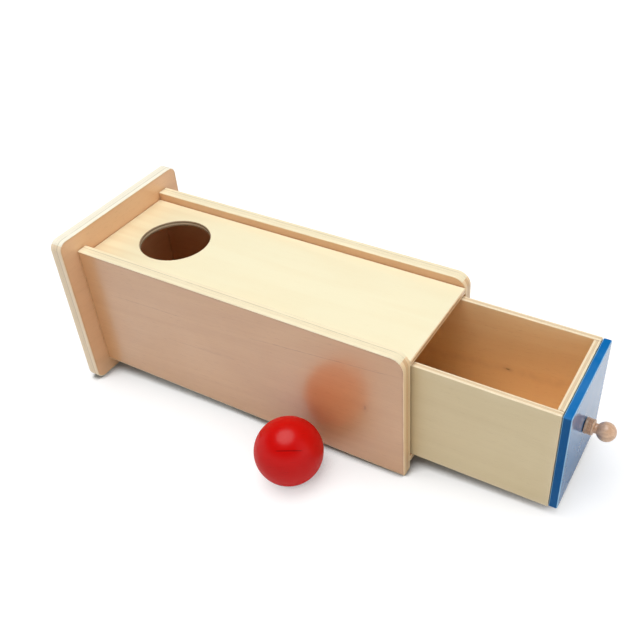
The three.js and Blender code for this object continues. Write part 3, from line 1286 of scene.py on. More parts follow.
@dataclass(frozen=True)
class PaintFinish:
    """A sprayed paint, with painted highlight along its borders and painted shade on its upright edges."""

    effects: Effects
    name: str
    # The face colour is the edge's blue lightened as painted light. The thin colour is thinner paint and
    # also the painted highlight. The deep colour, by the upright share, is painted shade on the edge's
    # upright stretches.
    face: Colour
    edge: Colour
    thin_and_highlight: Colour
    deep: Colour
    cloud: float = 0.07
    border_tone: float = 0.45
    reach: float = 0.0015
    upright: float = 0.55

    def coat(self, surface: Surface, paint: Colour) -> tuple[Socket, Sockets]:
        """Lays a coat that is thin in places.

        Args:
            surface: The material.
            paint: The colour of the coat.

        Returns:
            The colour, and the outputs of the coat's unevenness.
        """
        w = surface.wiring
        cloud = surface.cloud(surface.object_place(), clouds=45.0, ripples=850.0)
        return w.stain(paint, self.thin_and_highlight, w.ramp(cloud["Cloud"], 0.35, 0.7), self.cloud), cloud

    def dress_face(self, board: Board) -> Material:
        """Makes the paint of a board's faces.

        Args:
            board: The board, for its size.

        Returns:
            The material.
        """
        surface = Surface(self.name + "_face", PAINT_FACE, self.effects)
        colour, cloud = self.coat(surface, self.face)
        # Painted highlight: the paint is lightened along the borders of the face.
        border_tone = surface.border_tone(surface.board_place(), board, self.reach)
        colour = surface.wiring.stain(colour, self.thin_and_highlight, border_tone, self.border_tone)
        return surface.finish(colour, cloud["Cloud"], cloud["Ripple"])

    def dress_edge(self, board: Board) -> Material:
        """Makes the paint of a board's edge: a painted highlight on its rounded borders, painted shade on
        its upright stretches.

        Args:
            board: The board, for its size.

        Returns:
            The material.
        """
        surface = Surface(self.name + "_edge", PAINT_EDGE, self.effects)
        w = surface.wiring
        place = w.split(surface.board_place())
        border = w.math("ABSOLUTE", w.minus(w.math("MODULO", place[1], END_LIFT), 0.5))
        width, height = (half * 2 for half in board.half_size)
        upright = w.math("GREATER_THAN", w.math("MODULO", place[0], width + height), width)
        colour, cloud = self.coat(surface, self.edge)
        # Painted highlight along the rounded borders, patchy.
        painted_highlight = w.times(w.ramp(border, 0.4, 0.44), w.ramp(cloud["Cloud"], 0.3, 0.6, 0.7, 1.0))
        # Painted shade: the upright stretches are darkened towards the deep colour.
        colour = w.stain(colour, self.deep, upright, self.upright)
        shine = w.ramp(border, 0.36, 0.44, PAINT_EDGE.coat, 1.0)
        w.join(shine, surface.shader.inputs["Coat Weight"])
        return surface.finish(w.blend(painted_highlight, colour, self.thin_and_highlight), cloud["Cloud"], cloud["Ripple"])


@dataclass(frozen=True)
class BallFinish:
    """Satin paint on the wooden ball, darker in its turning mark, that glows a little in reflections."""

    effects: Effects
    body: Colour
    light: Colour
    mark: Colour
    glow: Colour
    glow_strength: float = 0.22
    mark_ends: Pair = (0.0055, 0.0085)
    mark_sides: Pair = (0.0001, 0.00045)
    mark_share: float = 0.7
    cloud: float = 0.3
    flecks: float = 0.12

    def dress(self, middle: Triple, turn: Triple) -> Material:
        """Makes the paint.

        Args:
            middle: The ball's middle in metres.
            turn: The turn that lays the turning axis on Z and the marked side on X.

        Returns:
            The material.
        """
        surface = Surface("ball_paint", BALL_PAINT, self.effects)
        w = surface.wiring
        place = surface.object_place(middle, turn)
        cloud = surface.cloud(place, clouds=60.0, ripples=900.0)
        grain = surface.grain(place, BALL_GRAIN)
        split = w.split(place)
        ends = w.fall(w.math("ABSOLUTE", split[1]), *self.mark_ends)
        front = w.times(ends, w.math("GREATER_THAN", split[0], 0.0))
        mark = w.times(w.fall(w.math("ABSOLUTE", split[2]), *self.mark_sides), front)
        colour = w.stain(self.body, self.light, w.ramp(cloud["Cloud"], 0.35, 0.7), self.cloud)
        colour = w.stain(colour, self.mark, grain["Fleck"], self.flecks)
        colour = w.stain(colour, self.mark, mark, self.mark_share)
        height = w.math("ADD", w.times(grain["Streak"], 0.4), cloud["Ripple"])
        mirrored = w.add("ShaderNodeLightPath").outputs["Is Glossy Ray"]
        w.join(w.blend(mirrored, BLACK, self.glow), surface.shader.inputs["Emission Color"])
        surface.shader.inputs["Emission Strength"].default_value = self.glow_strength
        return surface.finish(colour, cloud["Cloud"], height)


@dataclass(frozen=True)
class TurnedWoodFinish:
    """Solid wood turned about its grain, as in the knob and the dowels."""

    effects: Effects
    name: str
    pale: Colour
    deep: Colour
    fleck: Colour
    gloss: Gloss
    rings: float
    figure: float = 0.45
    streak: float = 0.4
    flecks: float = 0.4
    lathe: float = 0.1

    def dress(self, middle: Triple, lean: float) -> Material:
        """Makes the wood.

        Args:
            middle: A point on the turning axis, in metres.
            lean: The case's lean.

        Returns:
            The material.
        """
        surface = Surface(self.name, self.gloss, self.effects)
        w = surface.wiring
        place = surface.object_place(middle, (0.0, -lean, 0.0))
        grain = surface.grain(place, TURNED_GRAIN)
        cloud = surface.cloud(place, clouds=160.0, ripples=1500.0)
        lathe = w.wave(w.times(w.split(place)[0], self.rings))
        streaks = w.times(w.ramp(grain["Streak"], 0.3, 0.7), self.streak)
        shade = w.math("ADD", w.times(grain["Figure"], self.figure), streaks)
        colour = w.blend(shade, self.pale, self.deep)
        colour = w.stain(colour, self.fleck, grain["Fleck"], self.flecks)
        colour = w.stain(colour, self.deep, lathe, self.lathe)
        height = w.math("ADD", grain["Height"], w.times(lathe, 0.5))
        return surface.finish(colour, cloud["Cloud"], height)


@dataclass(frozen=True)
class SteelFinish:
    """Zinc-plated steel of the knob's screw."""

    effects: Effects
    bright: Colour
    dull: Colour

    def dress(self, middle: Triple) -> Material:
        """Makes the plating.

        Args:
            middle: A point on the screw, in metres.

        Returns:
            The material.
        """
        surface = Surface("screw_steel", PLATED_STEEL, self.effects)
        surface.shader.inputs["Metallic"].default_value = 1.0
        cloud = surface.cloud(surface.object_place(middle), clouds=700.0, ripples=4000.0)
        dulled = surface.wiring.ramp(cloud["Cloud"], 0.35, 0.65)
        colour = surface.wiring.blend(dulled, self.bright, self.dull)
        return surface.finish(colour, cloud["Cloud"], cloud["Ripple"])


class Finishes:
    """Every finish of the object, by the piece that it is on."""

    def __init__(self) -> None:
        """Chooses the colours."""
        effects = Effects()
        # Painted shade: the side veneer is the plate's wood drawn darker, for the case's outer faces.
        self.side = VeneerFinish(
            effects, "side_veneer", paint_chip(214, 161, 109), paint_chip(193, 137, 87),
            paint_chip(142, 92, 56), paint_chip(138, 98, 60), LACQUER,
            figure=0.18, streak=0.15, flecks=0.2, border_tone=0.5, reach=0.0022,
        )
        self.plate = VeneerFinish(
            effects, "plate_veneer", paint_chip(240, 193, 147), paint_chip(223, 173, 126),
            paint_chip(178, 128, 86), paint_chip(172, 124, 82), TOP_LACQUER,
            figure=0.2, streak=0.15, flecks=0.2, border_tone=0.45, reach=0.0022,
        )
        # Painted light: the top veneer is the same wood drawn paler, for the upward faces.
        self.top = VeneerFinish(
            effects, "top_veneer", paint_chip(252, 243, 207), paint_chip(246, 230, 188),
            paint_chip(232, 206, 160), paint_chip(252, 244, 214), TOP_LACQUER,
            figure=0.2, streak=0.08, flecks=0.1,
        )
        self.inside = VeneerFinish(
            effects, "inside_veneer", paint_chip(227, 178, 132), paint_chip(205, 148, 100),
            paint_chip(160, 104, 64), paint_chip(232, 188, 142), INSIDE_LACQUER,
            figure=0.2, streak=0.15, flecks=0.25,
        )
        self.drawer = VeneerFinish(
            effects, "drawer_veneer", paint_chip(225, 206, 163), paint_chip(209, 186, 140),
            paint_chip(172, 146, 102), paint_chip(240, 224, 190), TOP_LACQUER,
            figure=0.16, streak=0.1, flecks=0.15,
        )
        self.drawer_inside = VeneerFinish(
            effects, "drawer_inside_veneer", paint_chip(252, 216, 164), paint_chip(242, 196, 138),
            paint_chip(176, 122, 72), paint_chip(248, 220, 176), INSIDE_LACQUER,
            figure=0.2, streak=0.15, flecks=0.2,
        )
        self.plate_edge = PlyEdgeFinish(
            effects, "plate_edge", paint_chip(254, 248, 228), paint_chip(246, 234, 206),
            paint_chip(168, 156, 128), paint_chip(246, 230, 214),
            line_width=0.05, line_share=0.6, cross_share=0.2, end_share=0.3,
        ).dress()
        self.case_edge = PlyEdgeFinish(
            effects, "case_edge", paint_chip(252, 240, 205), paint_chip(226, 196, 150),
            paint_chip(158, 148, 112), paint_chip(252, 232, 216),
            line_width=0.055, line_share=0.55, cross_share=0.06, end_share=0.75,
        ).dress()
        self.panel_edge = PlyEdgeFinish(
            effects, "panel_edge", paint_chip(253, 236, 202), paint_chip(222, 188, 144),
            paint_chip(146, 118, 82), paint_chip(250, 240, 232),
            line_width=0.06, line_share=0.4, cross_share=0.6,
        ).dress()
        # Painted shade: the hole's wall is the panel's ply edge with its outer layers drawn dark.
        self.shaded_hole_edge = PlyEdgeFinish(
            effects, "shaded_hole_edge", paint_chip(150, 122, 88), paint_chip(240, 222, 190),
            paint_chip(104, 78, 50), paint_chip(255, 255, 255),
            line_width=0.06, line_share=0.4, cross_share=0.9,
        ).dress()
        # Front paint: the face colour is a lighter copy of the edge colour as painted light; the pale blue
        # is thinner paint and the painted highlight; the dark blue is painted shade for the upright edges.
        self.front = PaintFinish(
            effects, "front_paint", paint_chip(0, 122, 190), paint_chip(4, 107, 177),
            paint_chip(150, 206, 242), paint_chip(6, 66, 118),
        )
        self.ball = BallFinish(
            effects, paint_chip(204, 6, 2), paint_chip(214, 12, 6),
            paint_chip(104, 2, 3), paint_chip(255, 0, 0),
        )
        self.knob = TurnedWoodFinish(
            effects, "knob_wood", paint_chip(248, 205, 166), paint_chip(206, 156, 118),
            paint_chip(134, 90, 62), KNOB_LACQUER, rings=9000.0,
        )
        self.dowel = TurnedWoodFinish(
            effects, "dowel_wood", paint_chip(226, 198, 152), paint_chip(200, 166, 118),
            paint_chip(164, 126, 82), BARE_WOOD, rings=3000.0,
        )
        self.steel = SteelFinish(effects, paint_chip(200, 198, 190), paint_chip(158, 156, 150))


# Sub-assemblies


def settle(piece: Piece, body: str, nodes: Sequence[str]) -> None:
    """Lets a finished piece ride on its body in place of its CAD nodes.

    Args:
        piece: The piece, in place.
        body: The CAD body that it moves with.
        nodes: The CAD nodes that it stands for.
    """
    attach(piece, body)
    for node in nodes:
        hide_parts(node)
    LOG.info("%s: %d faces on %s", piece.name, len(piece.data.polygons), body)


@dataclass(frozen=True)
class Workshop:
    """What every piece is built with: the frame of the case, the finishes and the Geometry Nodes trees."""

    case: CaseFrame
    finishes: Finishes
    turned: TurnedTree
    pegs: PegRowTree

    def lay(self, board: Board, skins: Sequence[Material], body: str, slot: str, node: str) -> None:
        """Builds a board in its skins and lets it ride on its body in place of its CAD node."""
        settle(board.build(self.case, skins), body, [node])

    def carry(self, piece: Piece, shift: Triple) -> None:
        """Moves a piece made in millimetres about the origin to its place in the case, in its mesh."""
        piece.data.transform(self.case.matrix @ Matrix.Translation(shift))
        piece.data.update()


@dataclass
class Case:
    """The case: an end plate, two side boards, a top panel with the ball hole, a bottom panel and dowels."""

    plate_size: float = 110.0
    plate_thickness: float = 8.0
    plate_corner: float = 6.0
    plate_drop: float = 11.0
    length: float = 227.0
    width: float = 86.0
    height: float = 88.0
    side_thickness: float = 7.5
    side_corner: float = 8.0
    panel_thickness: float = 3.7
    recess: float = 5.4
    hole_radius: float = 22.25
    hole_along: float = 42.05
    hole_steps: int = 96
    dowel_radius: float = 2.0
    dowel_in_side: float = 9.0
    dowel_cover: float = 2.7
    dowel_from_edge: float = 18.0
    dowel_chamfer: float = 0.5
    dowel_steps: int = 48
    dowel_hole_steps: int = 16
    flutes: float = 12.0
    flute_depth: float = 0.09
    gap: float = 0.3
    board_ease: float = 0.6
    panel_ease: float = 0.5
    inner_seed: float = 1.7

    @property
    def bottom(self) -> float:
        """Height of the side boards' lower edges."""
        return self.plate_drop

    @property
    def top(self) -> float:
        """Height of the side boards' upper edges."""
        return self.plate_drop + self.height

    @property
    def panel_half(self) -> float:
        """Half the width of the panels between the side boards."""
        return self.width / 2 - self.side_thickness - self.gap

    @property
    def dowel_places(self) -> list[Pair]:
        """Where the dowels are, across and up."""
        across = (self.width - self.side_thickness) / 2
        heights = (self.bottom + self.dowel_from_edge, self.top - self.dowel_from_edge)
        return [(side * across, height) for side in (-1, 1) for height in heights]

    def end_plate(self, shop: Workshop) -> None:
        """Builds the end plate, with a blind hole for each dowel.

        Args:
            shop: What it is built with.
        """
        out = (1.0, 0.0)
        wall = (Ring(0.0, self.dowel_cover, out, out), Ring(0.0, self.plate_thickness, out, out))
        radius = self.dowel_radius + self.gap
        places = self.dowel_places
        holes = tuple(Hole(place, radius, wall, self.dowel_hole_steps, blind=True) for place in places)
        half = self.plate_size / 2
        board = Board(
            "end_plate_ply", Lie.ACROSS, (-self.plate_thickness, -half, 0.0), (0.0, half, self.plate_size),
            self.board_ease, (self.plate_corner,) * 4, holes,
        )
        face = shop.finishes.plate.dress(board, seed=3.1)
        shop.lay(board, [face, face, shop.finishes.plate_edge], "case", "case_plywood", "end_plate")

    def side_board(self, shop: Workshop, name: str, low_y: float, seed: float, marks: FaceMarks) -> None:
        """Builds a side board, with its upper front corner rounded and its end drilled for two dowels.

        Args:
            shop: What it is built with.
            name: The CAD node's name.
            low_y: Its lower y.
            seed: Which part of the wood it is cut from.
            marks: What sets its outer face apart.
        """
        radius, deep = self.dowel_radius + self.gap, self.dowel_in_side + self.gap
        heights = sorted({height for _, height in self.dowel_places})
        bores = tuple(EndBore(height, radius, deep) for height in heights)
        board = Board(
            name + "_ply", Lie.ALONG, (self.gap, low_y, self.bottom),
            (self.length, low_y + self.side_thickness, self.top), self.board_ease,
            (0.0, 0.0, self.side_corner, 0.0), bores=bores,
        )
        outer = shop.finishes.side.dress(board, seed, marks)
        inner = shop.finishes.inside.dress(board, seed + self.inner_seed)
        faces = [outer, inner] if low_y < 0 else [inner, outer]
        shop.lay(board, [*faces, shop.finishes.case_edge], "case", "case_plywood", name)

    def top_panel(self, shop: Workshop) -> None:
        """Builds the top panel, with the ball hole eased on both faces.

        Args:
            shop: What it is built with.
        """
        finishes, half = shop.finishes, self.panel_half
        upper = self.top - self.recess
        board = Board(
            "top_panel_ply", Lie.FLAT, (self.gap, -half, upper - self.panel_thickness),
            (self.length, half, upper), self.panel_ease,
        )
        board.holes = (Hole((self.hole_along, 0.0), self.hole_radius, board.eased_rings(), self.hole_steps),)
        # The wide line at the plate end is no grain: it is painted warm bounce light and shade from the end
        # plate, warmer and darker towards it.
        painted_plate_bounce = FaceMarks(slant=1.0, lines=(GrainLine((-122.0, 0.0), 90.0, (120.0, 75.0), 0.9),))
        faces = [finishes.inside.dress(board, seed=5.2), finishes.top.dress(board, seed=6.4, marks=painted_plate_bounce)]
        skins = [*faces, finishes.panel_edge, finishes.shaded_hole_edge]
        shop.lay(board, skins, "case", "case_plywood", "top_panel")

    def bottom_panel(self, shop: Workshop) -> None:
        """Builds the bottom panel that the drawer runs on.

        Args:
            shop: What it is built with.
        """
        finishes, half = shop.finishes, self.panel_half
        lower = self.bottom + self.recess
        board = Board(
            "bottom_panel_ply", Lie.FLAT, (self.gap, -half, lower),
            (self.length, half, lower + self.panel_thickness), self.panel_ease,
        )
        faces = [finishes.side.dress(board, seed=8.8), finishes.inside.dress(board, seed=9.3)]
        shop.lay(board, [*faces, finishes.panel_edge], "case", "case_plywood", "bottom_panel")

    def dowels(self, shop: Workshop) -> None:
        """Builds the four fluted dowels as one mesh.

        Args:
            shop: What they are built with.
        """
        back = self.dowel_cover + self.gap - self.plate_thickness
        front = self.gap + self.dowel_in_side
        radius, chamfer = self.dowel_radius, self.dowel_chamfer
        profile = [
            (back, 0.0), (back, radius - chamfer), (back + chamfer, radius),
            (front - chamfer, radius), (front, radius - chamfer), (front, 0.0),
        ]
        middle = (0.0, 0.0, (self.bottom + self.top) / 2)
        wood = shop.finishes.dowel.dress(tuple(shop.case.matrix @ Vector(middle)), shop.case.lean)
        flutes = {"Flutes": self.flutes, "Flute Depth": self.flute_depth}
        one = shop.turned.turn("dowel", profile, {"Steps": self.dowel_steps, "Material": wood, **flutes})
        places = self.dowel_places
        piece = shop.pegs.repeat("dowel_pegs", one.data, {
            "Across": places[2][0] - places[0][0],
            "Up": places[1][1] - places[0][1],
            "Material": wood,
        })
        bpy.data.objects.remove(one)
        shop.carry(piece, middle)
        nodes = [f"dowel_{side}_{end}" for side in ("left", "right") for end in ("lower", "upper")]
        settle(piece, "case", nodes)

    def build(self, shop: Workshop) -> None:
        """Builds every piece of the case.

        Args:
            shop: What they are built with.
        """
        half = self.width / 2
        lines = (
            GrainLine((63.0, 27.0), 5.8, (58.0, 0.5), 0.45),
            GrainLine((-62.0, 18.0), 3.0, (34.0, 0.5), 0.3),
            GrainLine((-30.0, -2.0), 4.0, (30.0, 0.6), 0.2),
        )
        near = FaceMarks(slant=3.0, knots=(Knot((89.0, 0.4), (0.8, 1.8), 0.24),), lines=lines)
        far = FaceMarks(slant=-2.0)
        self.end_plate(shop)
        self.side_board(shop, "side_left", -half, seed=1.0, marks=near)
        self.side_board(shop, "side_right", half - self.side_thickness, seed=2.0, marks=far)
        self.top_panel(shop)
        self.bottom_panel(shop)
        self.dowels(shop)


@dataclass
class Drawer:
    """The drawer: two sides, a back, a bottom and an inner front of thin ply, and a painted front board."""

    opening: float = 86.0
    wall: float = 3.7
    half_width: float = 33.5
    back: float = 1.0
    bottom: float = 20.6
    top: float = 89.1
    front_face: float = 227.0
    front_thickness: float = 4.8
    front_rise: float = 0.6
    gap: float = 0.3
    ease: float = 0.45
    front_ease: float = 0.85
    screw_radius: float = 1.3
    screw_head_radius: float = 2.5
    screw_head_rim: float = 0.2
    screw_head_height: float = 1.5
    screw_hole_steps: int = 24
    inner_seed: float = 0.9

    @property
    def inner_half(self) -> float:
        """Half the width inside the drawer."""
        return self.half_width - self.wall

    @property
    def inner_front_face(self) -> float:
        """Front of the inner front board, with the drawer shut."""
        return self.front_face - self.front_thickness - self.gap

    @property
    def knob_height(self) -> float:
        """Height of the knob's axis."""
        return (self.bottom + self.front_rise + self.top) / 2

    def span(self, start: float, end: float) -> Pair:
        """A stretch along the case with the drawer standing open."""
        return start + self.opening, end + self.opening

    def screw_hole(self, thickness: float, countersunk: bool) -> Hole:
        """The hole for the knob's screw.

        Args:
            thickness: The board's thickness.
            countersunk: Whether the screw's head sits in it.

        Returns:
            The hole.
        """
        wall = (1.0, 0.0)
        mouth: tuple[Ring, ...] = (Ring(0.0, 0.0, wall, wall),)
        if countersunk:
            wide = self.screw_head_radius - self.screw_radius
            slope = Vector((self.screw_head_height - self.screw_head_rim, -wide)).normalized()
            cone = (slope.x, slope.y)
            mouth = (
                Ring(wide, 0.0, wall, wall),
                Ring(wide, self.screw_head_rim, wall, cone),
                Ring(0.0, self.screw_head_height, cone, wall),
            )
        rings = (*mouth, Ring(0.0, thickness, wall, wall))
        radius = self.screw_radius + self.gap
        return Hole((0.0, self.knob_height), radius, rings, self.screw_hole_steps)

    def lay(
        self, shop: Workshop, board: Board, node: str, inner_high: bool, seed: float,
        marks: FaceMarks = FaceMarks(),
    ) -> None:
        """Dresses a ply board of the drawer and builds it.

        Args:
            shop: What it is built with.
            board: The board.
            node: The CAD node that it stands for.
            inner_high: Whether its high face is inside the drawer.
            seed: Which part of the wood it is cut from.
            marks: What sets its inner face apart.
        """
        outer = shop.finishes.drawer.dress(board, seed)
        inner = shop.finishes.drawer_inside.dress(board, seed + self.inner_seed, marks)
        faces = [outer, inner] if inner_high else [inner, outer]
        shop.lay(board, [*faces, shop.finishes.panel_edge], "drawer", "drawer_plywood", node)

    def side(self, shop: Workshop, node: str, low_y: float, seed: float, marks: FaceMarks) -> None:
        """Builds a drawer side.

        Args:
            shop: What it is built with.
            node: The CAD node's name.
            low_y: Its lower y.
            seed: Which part of the wood it is cut from.
            marks: What sets its inner face apart.
        """
        start, end = self.span(self.back, self.inner_front_face)
        low, high = (start, low_y, self.bottom), (end, low_y + self.wall, self.top)
        self.lay(shop, Board(node + "_ply", Lie.ALONG, low, high, self.ease), node, low_y < 0, seed, marks)

    def cross_board(
        self, shop: Workshop, node: str, start: float, inner_high: bool, seed: float,
        holes: tuple[Hole, ...] = (),
    ) -> None:
        """Builds the drawer's back or inner front, between its sides.

        Args:
            shop: What it is built with.
            node: The CAD node's name.
            start: Its back, with the drawer shut.
            inner_high: Whether its face towards the case's front is inside the drawer.
            seed: Which part of the wood it is cut from.
            holes: Its holes.
        """
        back, front = self.span(start, start + self.wall)
        half = self.inner_half - self.gap
        low, high = (back, -half, self.bottom), (front, half, self.top)
        board = Board(node + "_ply", Lie.ACROSS, low, high, self.ease, holes=holes)
        self.lay(shop, board, node, inner_high, seed)

    def floor_board(self, shop: Workshop) -> None:
        """Builds the drawer's bottom.

        Args:
            shop: What it is built with.
        """
        inset = self.wall + self.gap
        start, end = self.span(self.back + inset, self.inner_front_face - inset)
        half = self.inner_half - self.gap
        low, high = (start, -half, self.bottom), (end, half, self.bottom + self.wall)
        board = Board("drawer_bottom_ply", Lie.FLAT, low, high, self.ease)
        outer = shop.finishes.drawer.dress(board, seed=14.2)
        inner = shop.finishes.drawer_inside.dress(board, seed=15.6)
        skins = [outer, inner, shop.finishes.panel_edge]
        shop.lay(board, skins, "drawer", "drawer_plywood", "drawer_bottom")

    def front_board(self, shop: Workshop) -> None:
        """Builds the painted front board.

        Args:
            shop: What it is built with.
        """
        back, front = self.span(self.front_face - self.front_thickness, self.front_face)
        board = Board(
            "drawer_front_board", Lie.ACROSS, (back, -self.half_width, self.bottom + self.front_rise),
            (front, self.half_width, self.top), self.front_ease,
            holes=(self.screw_hole(self.front_thickness, countersunk=False),),
        )
        paint = shop.finishes.front
        face = paint.dress_face(board)
        shop.lay(board, [face, face, paint.dress_edge(board)], "drawer", "front_paint", "drawer_front")

    def build(self, shop: Workshop) -> None:
        """Builds every board of the drawer.

        Args:
            shop: What they are built with.
        """
        near = FaceMarks(slant=-3.0)
        knot = Knot((60.9, -6.8), (1.2, 0.5), 0.6)
        far = FaceMarks(slant=5.4, knots=(knot,), lines=(GrainLine((48.0, -8.5), 5.4, (70.0, 4.5), 0.16),))
        self.side(shop, "drawer_side_left", -self.half_width, seed=11.0, marks=near)
        self.side(shop, "drawer_side_right", self.inner_half, seed=12.0, marks=far)
        self.cross_board(shop, "drawer_back", self.back, inner_high=True, seed=13.0)
        hole = self.screw_hole(self.wall, countersunk=True)
        start = self.inner_front_face - self.wall
        self.cross_board(shop, "drawer_inner_front", start, inner_high=False, seed=16.0, holes=(hole,))
        self.floor_board(shop)
        self.front_board(shop)


@dataclass
class Knob:
    """The turned knob and the screw that holds it."""

    collar_radius: float = 4.6
    collar_length: float = 5.0
    collar_round: float = 0.9
    foot_chamfer: float = 0.25
    groove_count: int = 3
    groove_start: float = 1.9
    groove_pitch: float = 0.85
    groove_half: float = 0.3
    groove_depth: float = 0.45
    neck_radius: float = 2.8
    neck_length: float = 1.6
    neck_fillet: float = 0.5
    ball_radius: float = 5.44
    round_steps: int = 8
    fillet_steps: int = 5
    ball_steps: int = 40
    turn_steps: int = 96
    sharp_from: float = 40.0
    screw_in_knob: float = 4.2
    screw_tip: float = 1.2
    screw_steps: int = 40
    screw_sharp_from: float = 35.0
    head_chamfer: float = 0.1
    slot_length: float = 3.4
    slot_width: float = 0.8
    slot_depth: float = 0.7
    slot_overshoot: float = 0.5
    thread_pitch: float = 0.9
    thread_depth: float = 0.28
    thread_lead: float = 0.6
    thread_margin: float = 0.05
    rows_per_pitch: int = 8

    def profile(self, drawer: Drawer) -> list[Pair]:
        """The knob's profile from its screw hole over the collar, the neck and the ball.

        Args:
            drawer: The drawer, for the screw's hole.

        Returns:
            Points along the axis from the knob's foot and away from it.
        """
        hole = drawer.screw_radius + drawer.gap
        deep = self.screw_in_knob + drawer.gap
        rim, collar, neck = self.collar_length, self.collar_radius, self.neck_radius
        edge, fillet, foot = self.collar_round, self.neck_fillet, self.foot_chamfer
        neck_angle = math.degrees(math.acos(neck / self.ball_radius))
        middle = rim + self.neck_length + self.ball_radius * math.sin(math.radians(neck_angle))
        grooves: list[Pair] = []
        for number in range(self.groove_count):
            along = self.groove_start + number * self.groove_pitch
            grooves.append((along - self.groove_half, collar))
            grooves.append((along, collar - self.groove_depth))
            grooves.append((along + self.groove_half, collar))
        return [
            (deep, 0.0),
            (deep - self.screw_tip, hole),
            (0.0, hole),
            (0.0, collar - foot),
            (foot, collar),
            *grooves,
            *arc((rim - edge, collar - edge), edge, 90.0, 0.0, self.round_steps),
            (rim, neck + fillet),
            *arc((rim + fillet, neck + fillet), fillet, 180.0, 270.0, self.fillet_steps)[1:],
            *arc((middle, 0.0), self.ball_radius, 90.0 + neck_angle, 0.0, self.ball_steps)[:-1],
            (middle + self.ball_radius, 0.0),
        ]

    def build(self, shop: Workshop, drawer: Drawer) -> None:
        """Builds the knob and its screw.

        Args:
            shop: What they are built with.
            drawer: The drawer that carries them.
        """
        place = (drawer.front_face + drawer.opening + drawer.gap, 0.0, drawer.knob_height)
        wood = shop.finishes.knob.dress(tuple(shop.case.matrix @ Vector(place)), shop.case.lean)
        sizes = {"Steps": self.turn_steps, "Material": wood}
        knob = shop.turned.turn("knob_turned", self.profile(drawer), sizes)
        knob.data.set_sharp_from_angle(angle=math.radians(self.sharp_from))
        shop.carry(knob, place)
        settle(knob, "drawer", ["knob"])
        self.screw(shop, drawer)

    def screw(self, shop: Workshop, drawer: Drawer) -> None:
        """Builds the countersunk screw, with its thread and its crossed slots.

        Args:
            shop: What it is built with.
            drawer: The drawer that carries it.
        """
        head = drawer.inner_front_face - drawer.wall
        tip = drawer.front_face + drawer.gap + self.screw_in_knob - head
        start = drawer.screw_head_height + self.thread_lead
        end = tip - self.screw_tip
        rows = int((end - start) / (self.thread_pitch / self.rows_per_pitch))
        profile = [
            (0.0, 0.0),
            (0.0, drawer.screw_head_radius - self.head_chamfer),
            (self.head_chamfer, drawer.screw_head_radius),
            (drawer.screw_head_rim, drawer.screw_head_radius),
            (drawer.screw_head_height, drawer.screw_radius),
            *((start + (end - start) * row / rows, drawer.screw_radius) for row in range(rows + 1)),
            (tip, 0.0),
        ]
        place = (head + drawer.opening, 0.0, drawer.knob_height)
        piece = shop.turned.turn("knob_screw_steel", profile, {
            "Steps": self.screw_steps,
            "Thread Depth": self.thread_depth,
            "Thread Pitch": self.thread_pitch,
            "Thread Start": start + self.thread_margin,
            "Thread End": end - self.thread_margin,
            "Material": shop.finishes.steel.dress(tuple(shop.case.matrix @ Vector(place))),
        })
        self.cut_slots(piece)
        piece.data.set_sharp_from_angle(angle=math.radians(self.screw_sharp_from))
        shop.carry(piece, place)
        settle(piece, "drawer", ["knob_screw"])

    def cut_slots(self, piece: Piece) -> None:
        """Cuts the crossed slots into the screw's head.

        Args:
            piece: The screw, along X with its head at the origin.
        """
        half, reach = self.slot_width / 2, self.slot_length / 2
        star = [
            (half, half), (reach, half), (reach, -half), (half, -half), (half, -reach), (-half, -reach),
            (-half, -half), (-reach, -half), (-reach, half), (-half, half), (-half, reach), (half, reach),
        ]
        count = len(star)
        points = [(level, y, z) for level in (-self.slot_overshoot, self.slot_depth) for y, z in star]
        faces: list[tuple[int, ...]] = [tuple(range(count)), tuple(reversed(range(count, 2 * count)))]
        faces += [((n + 1) % count, n, n + count, (n + 1) % count + count) for n in range(count)]
        mesh = bpy.data.meshes.new("slot_cutter")
        mesh.from_pydata(points, [], faces)
        if signed_volume(mesh) < 0:
            mesh.flip_normals()
        cutter = bpy.data.objects.new("slot_cutter", mesh)
        show(cutter)
        modifier = piece.modifiers.new("slots", "BOOLEAN")
        modifier.operation, modifier.object, modifier.solver = "DIFFERENCE", cutter, "EXACT"
        bpy.context.view_layer.update()
        cut = bpy.data.meshes.new_from_object(piece.evaluated_get(bpy.context.evaluated_depsgraph_get()))
        piece.modifiers.clear()
        piece.data = cut
        bpy.data.objects.remove(cutter)


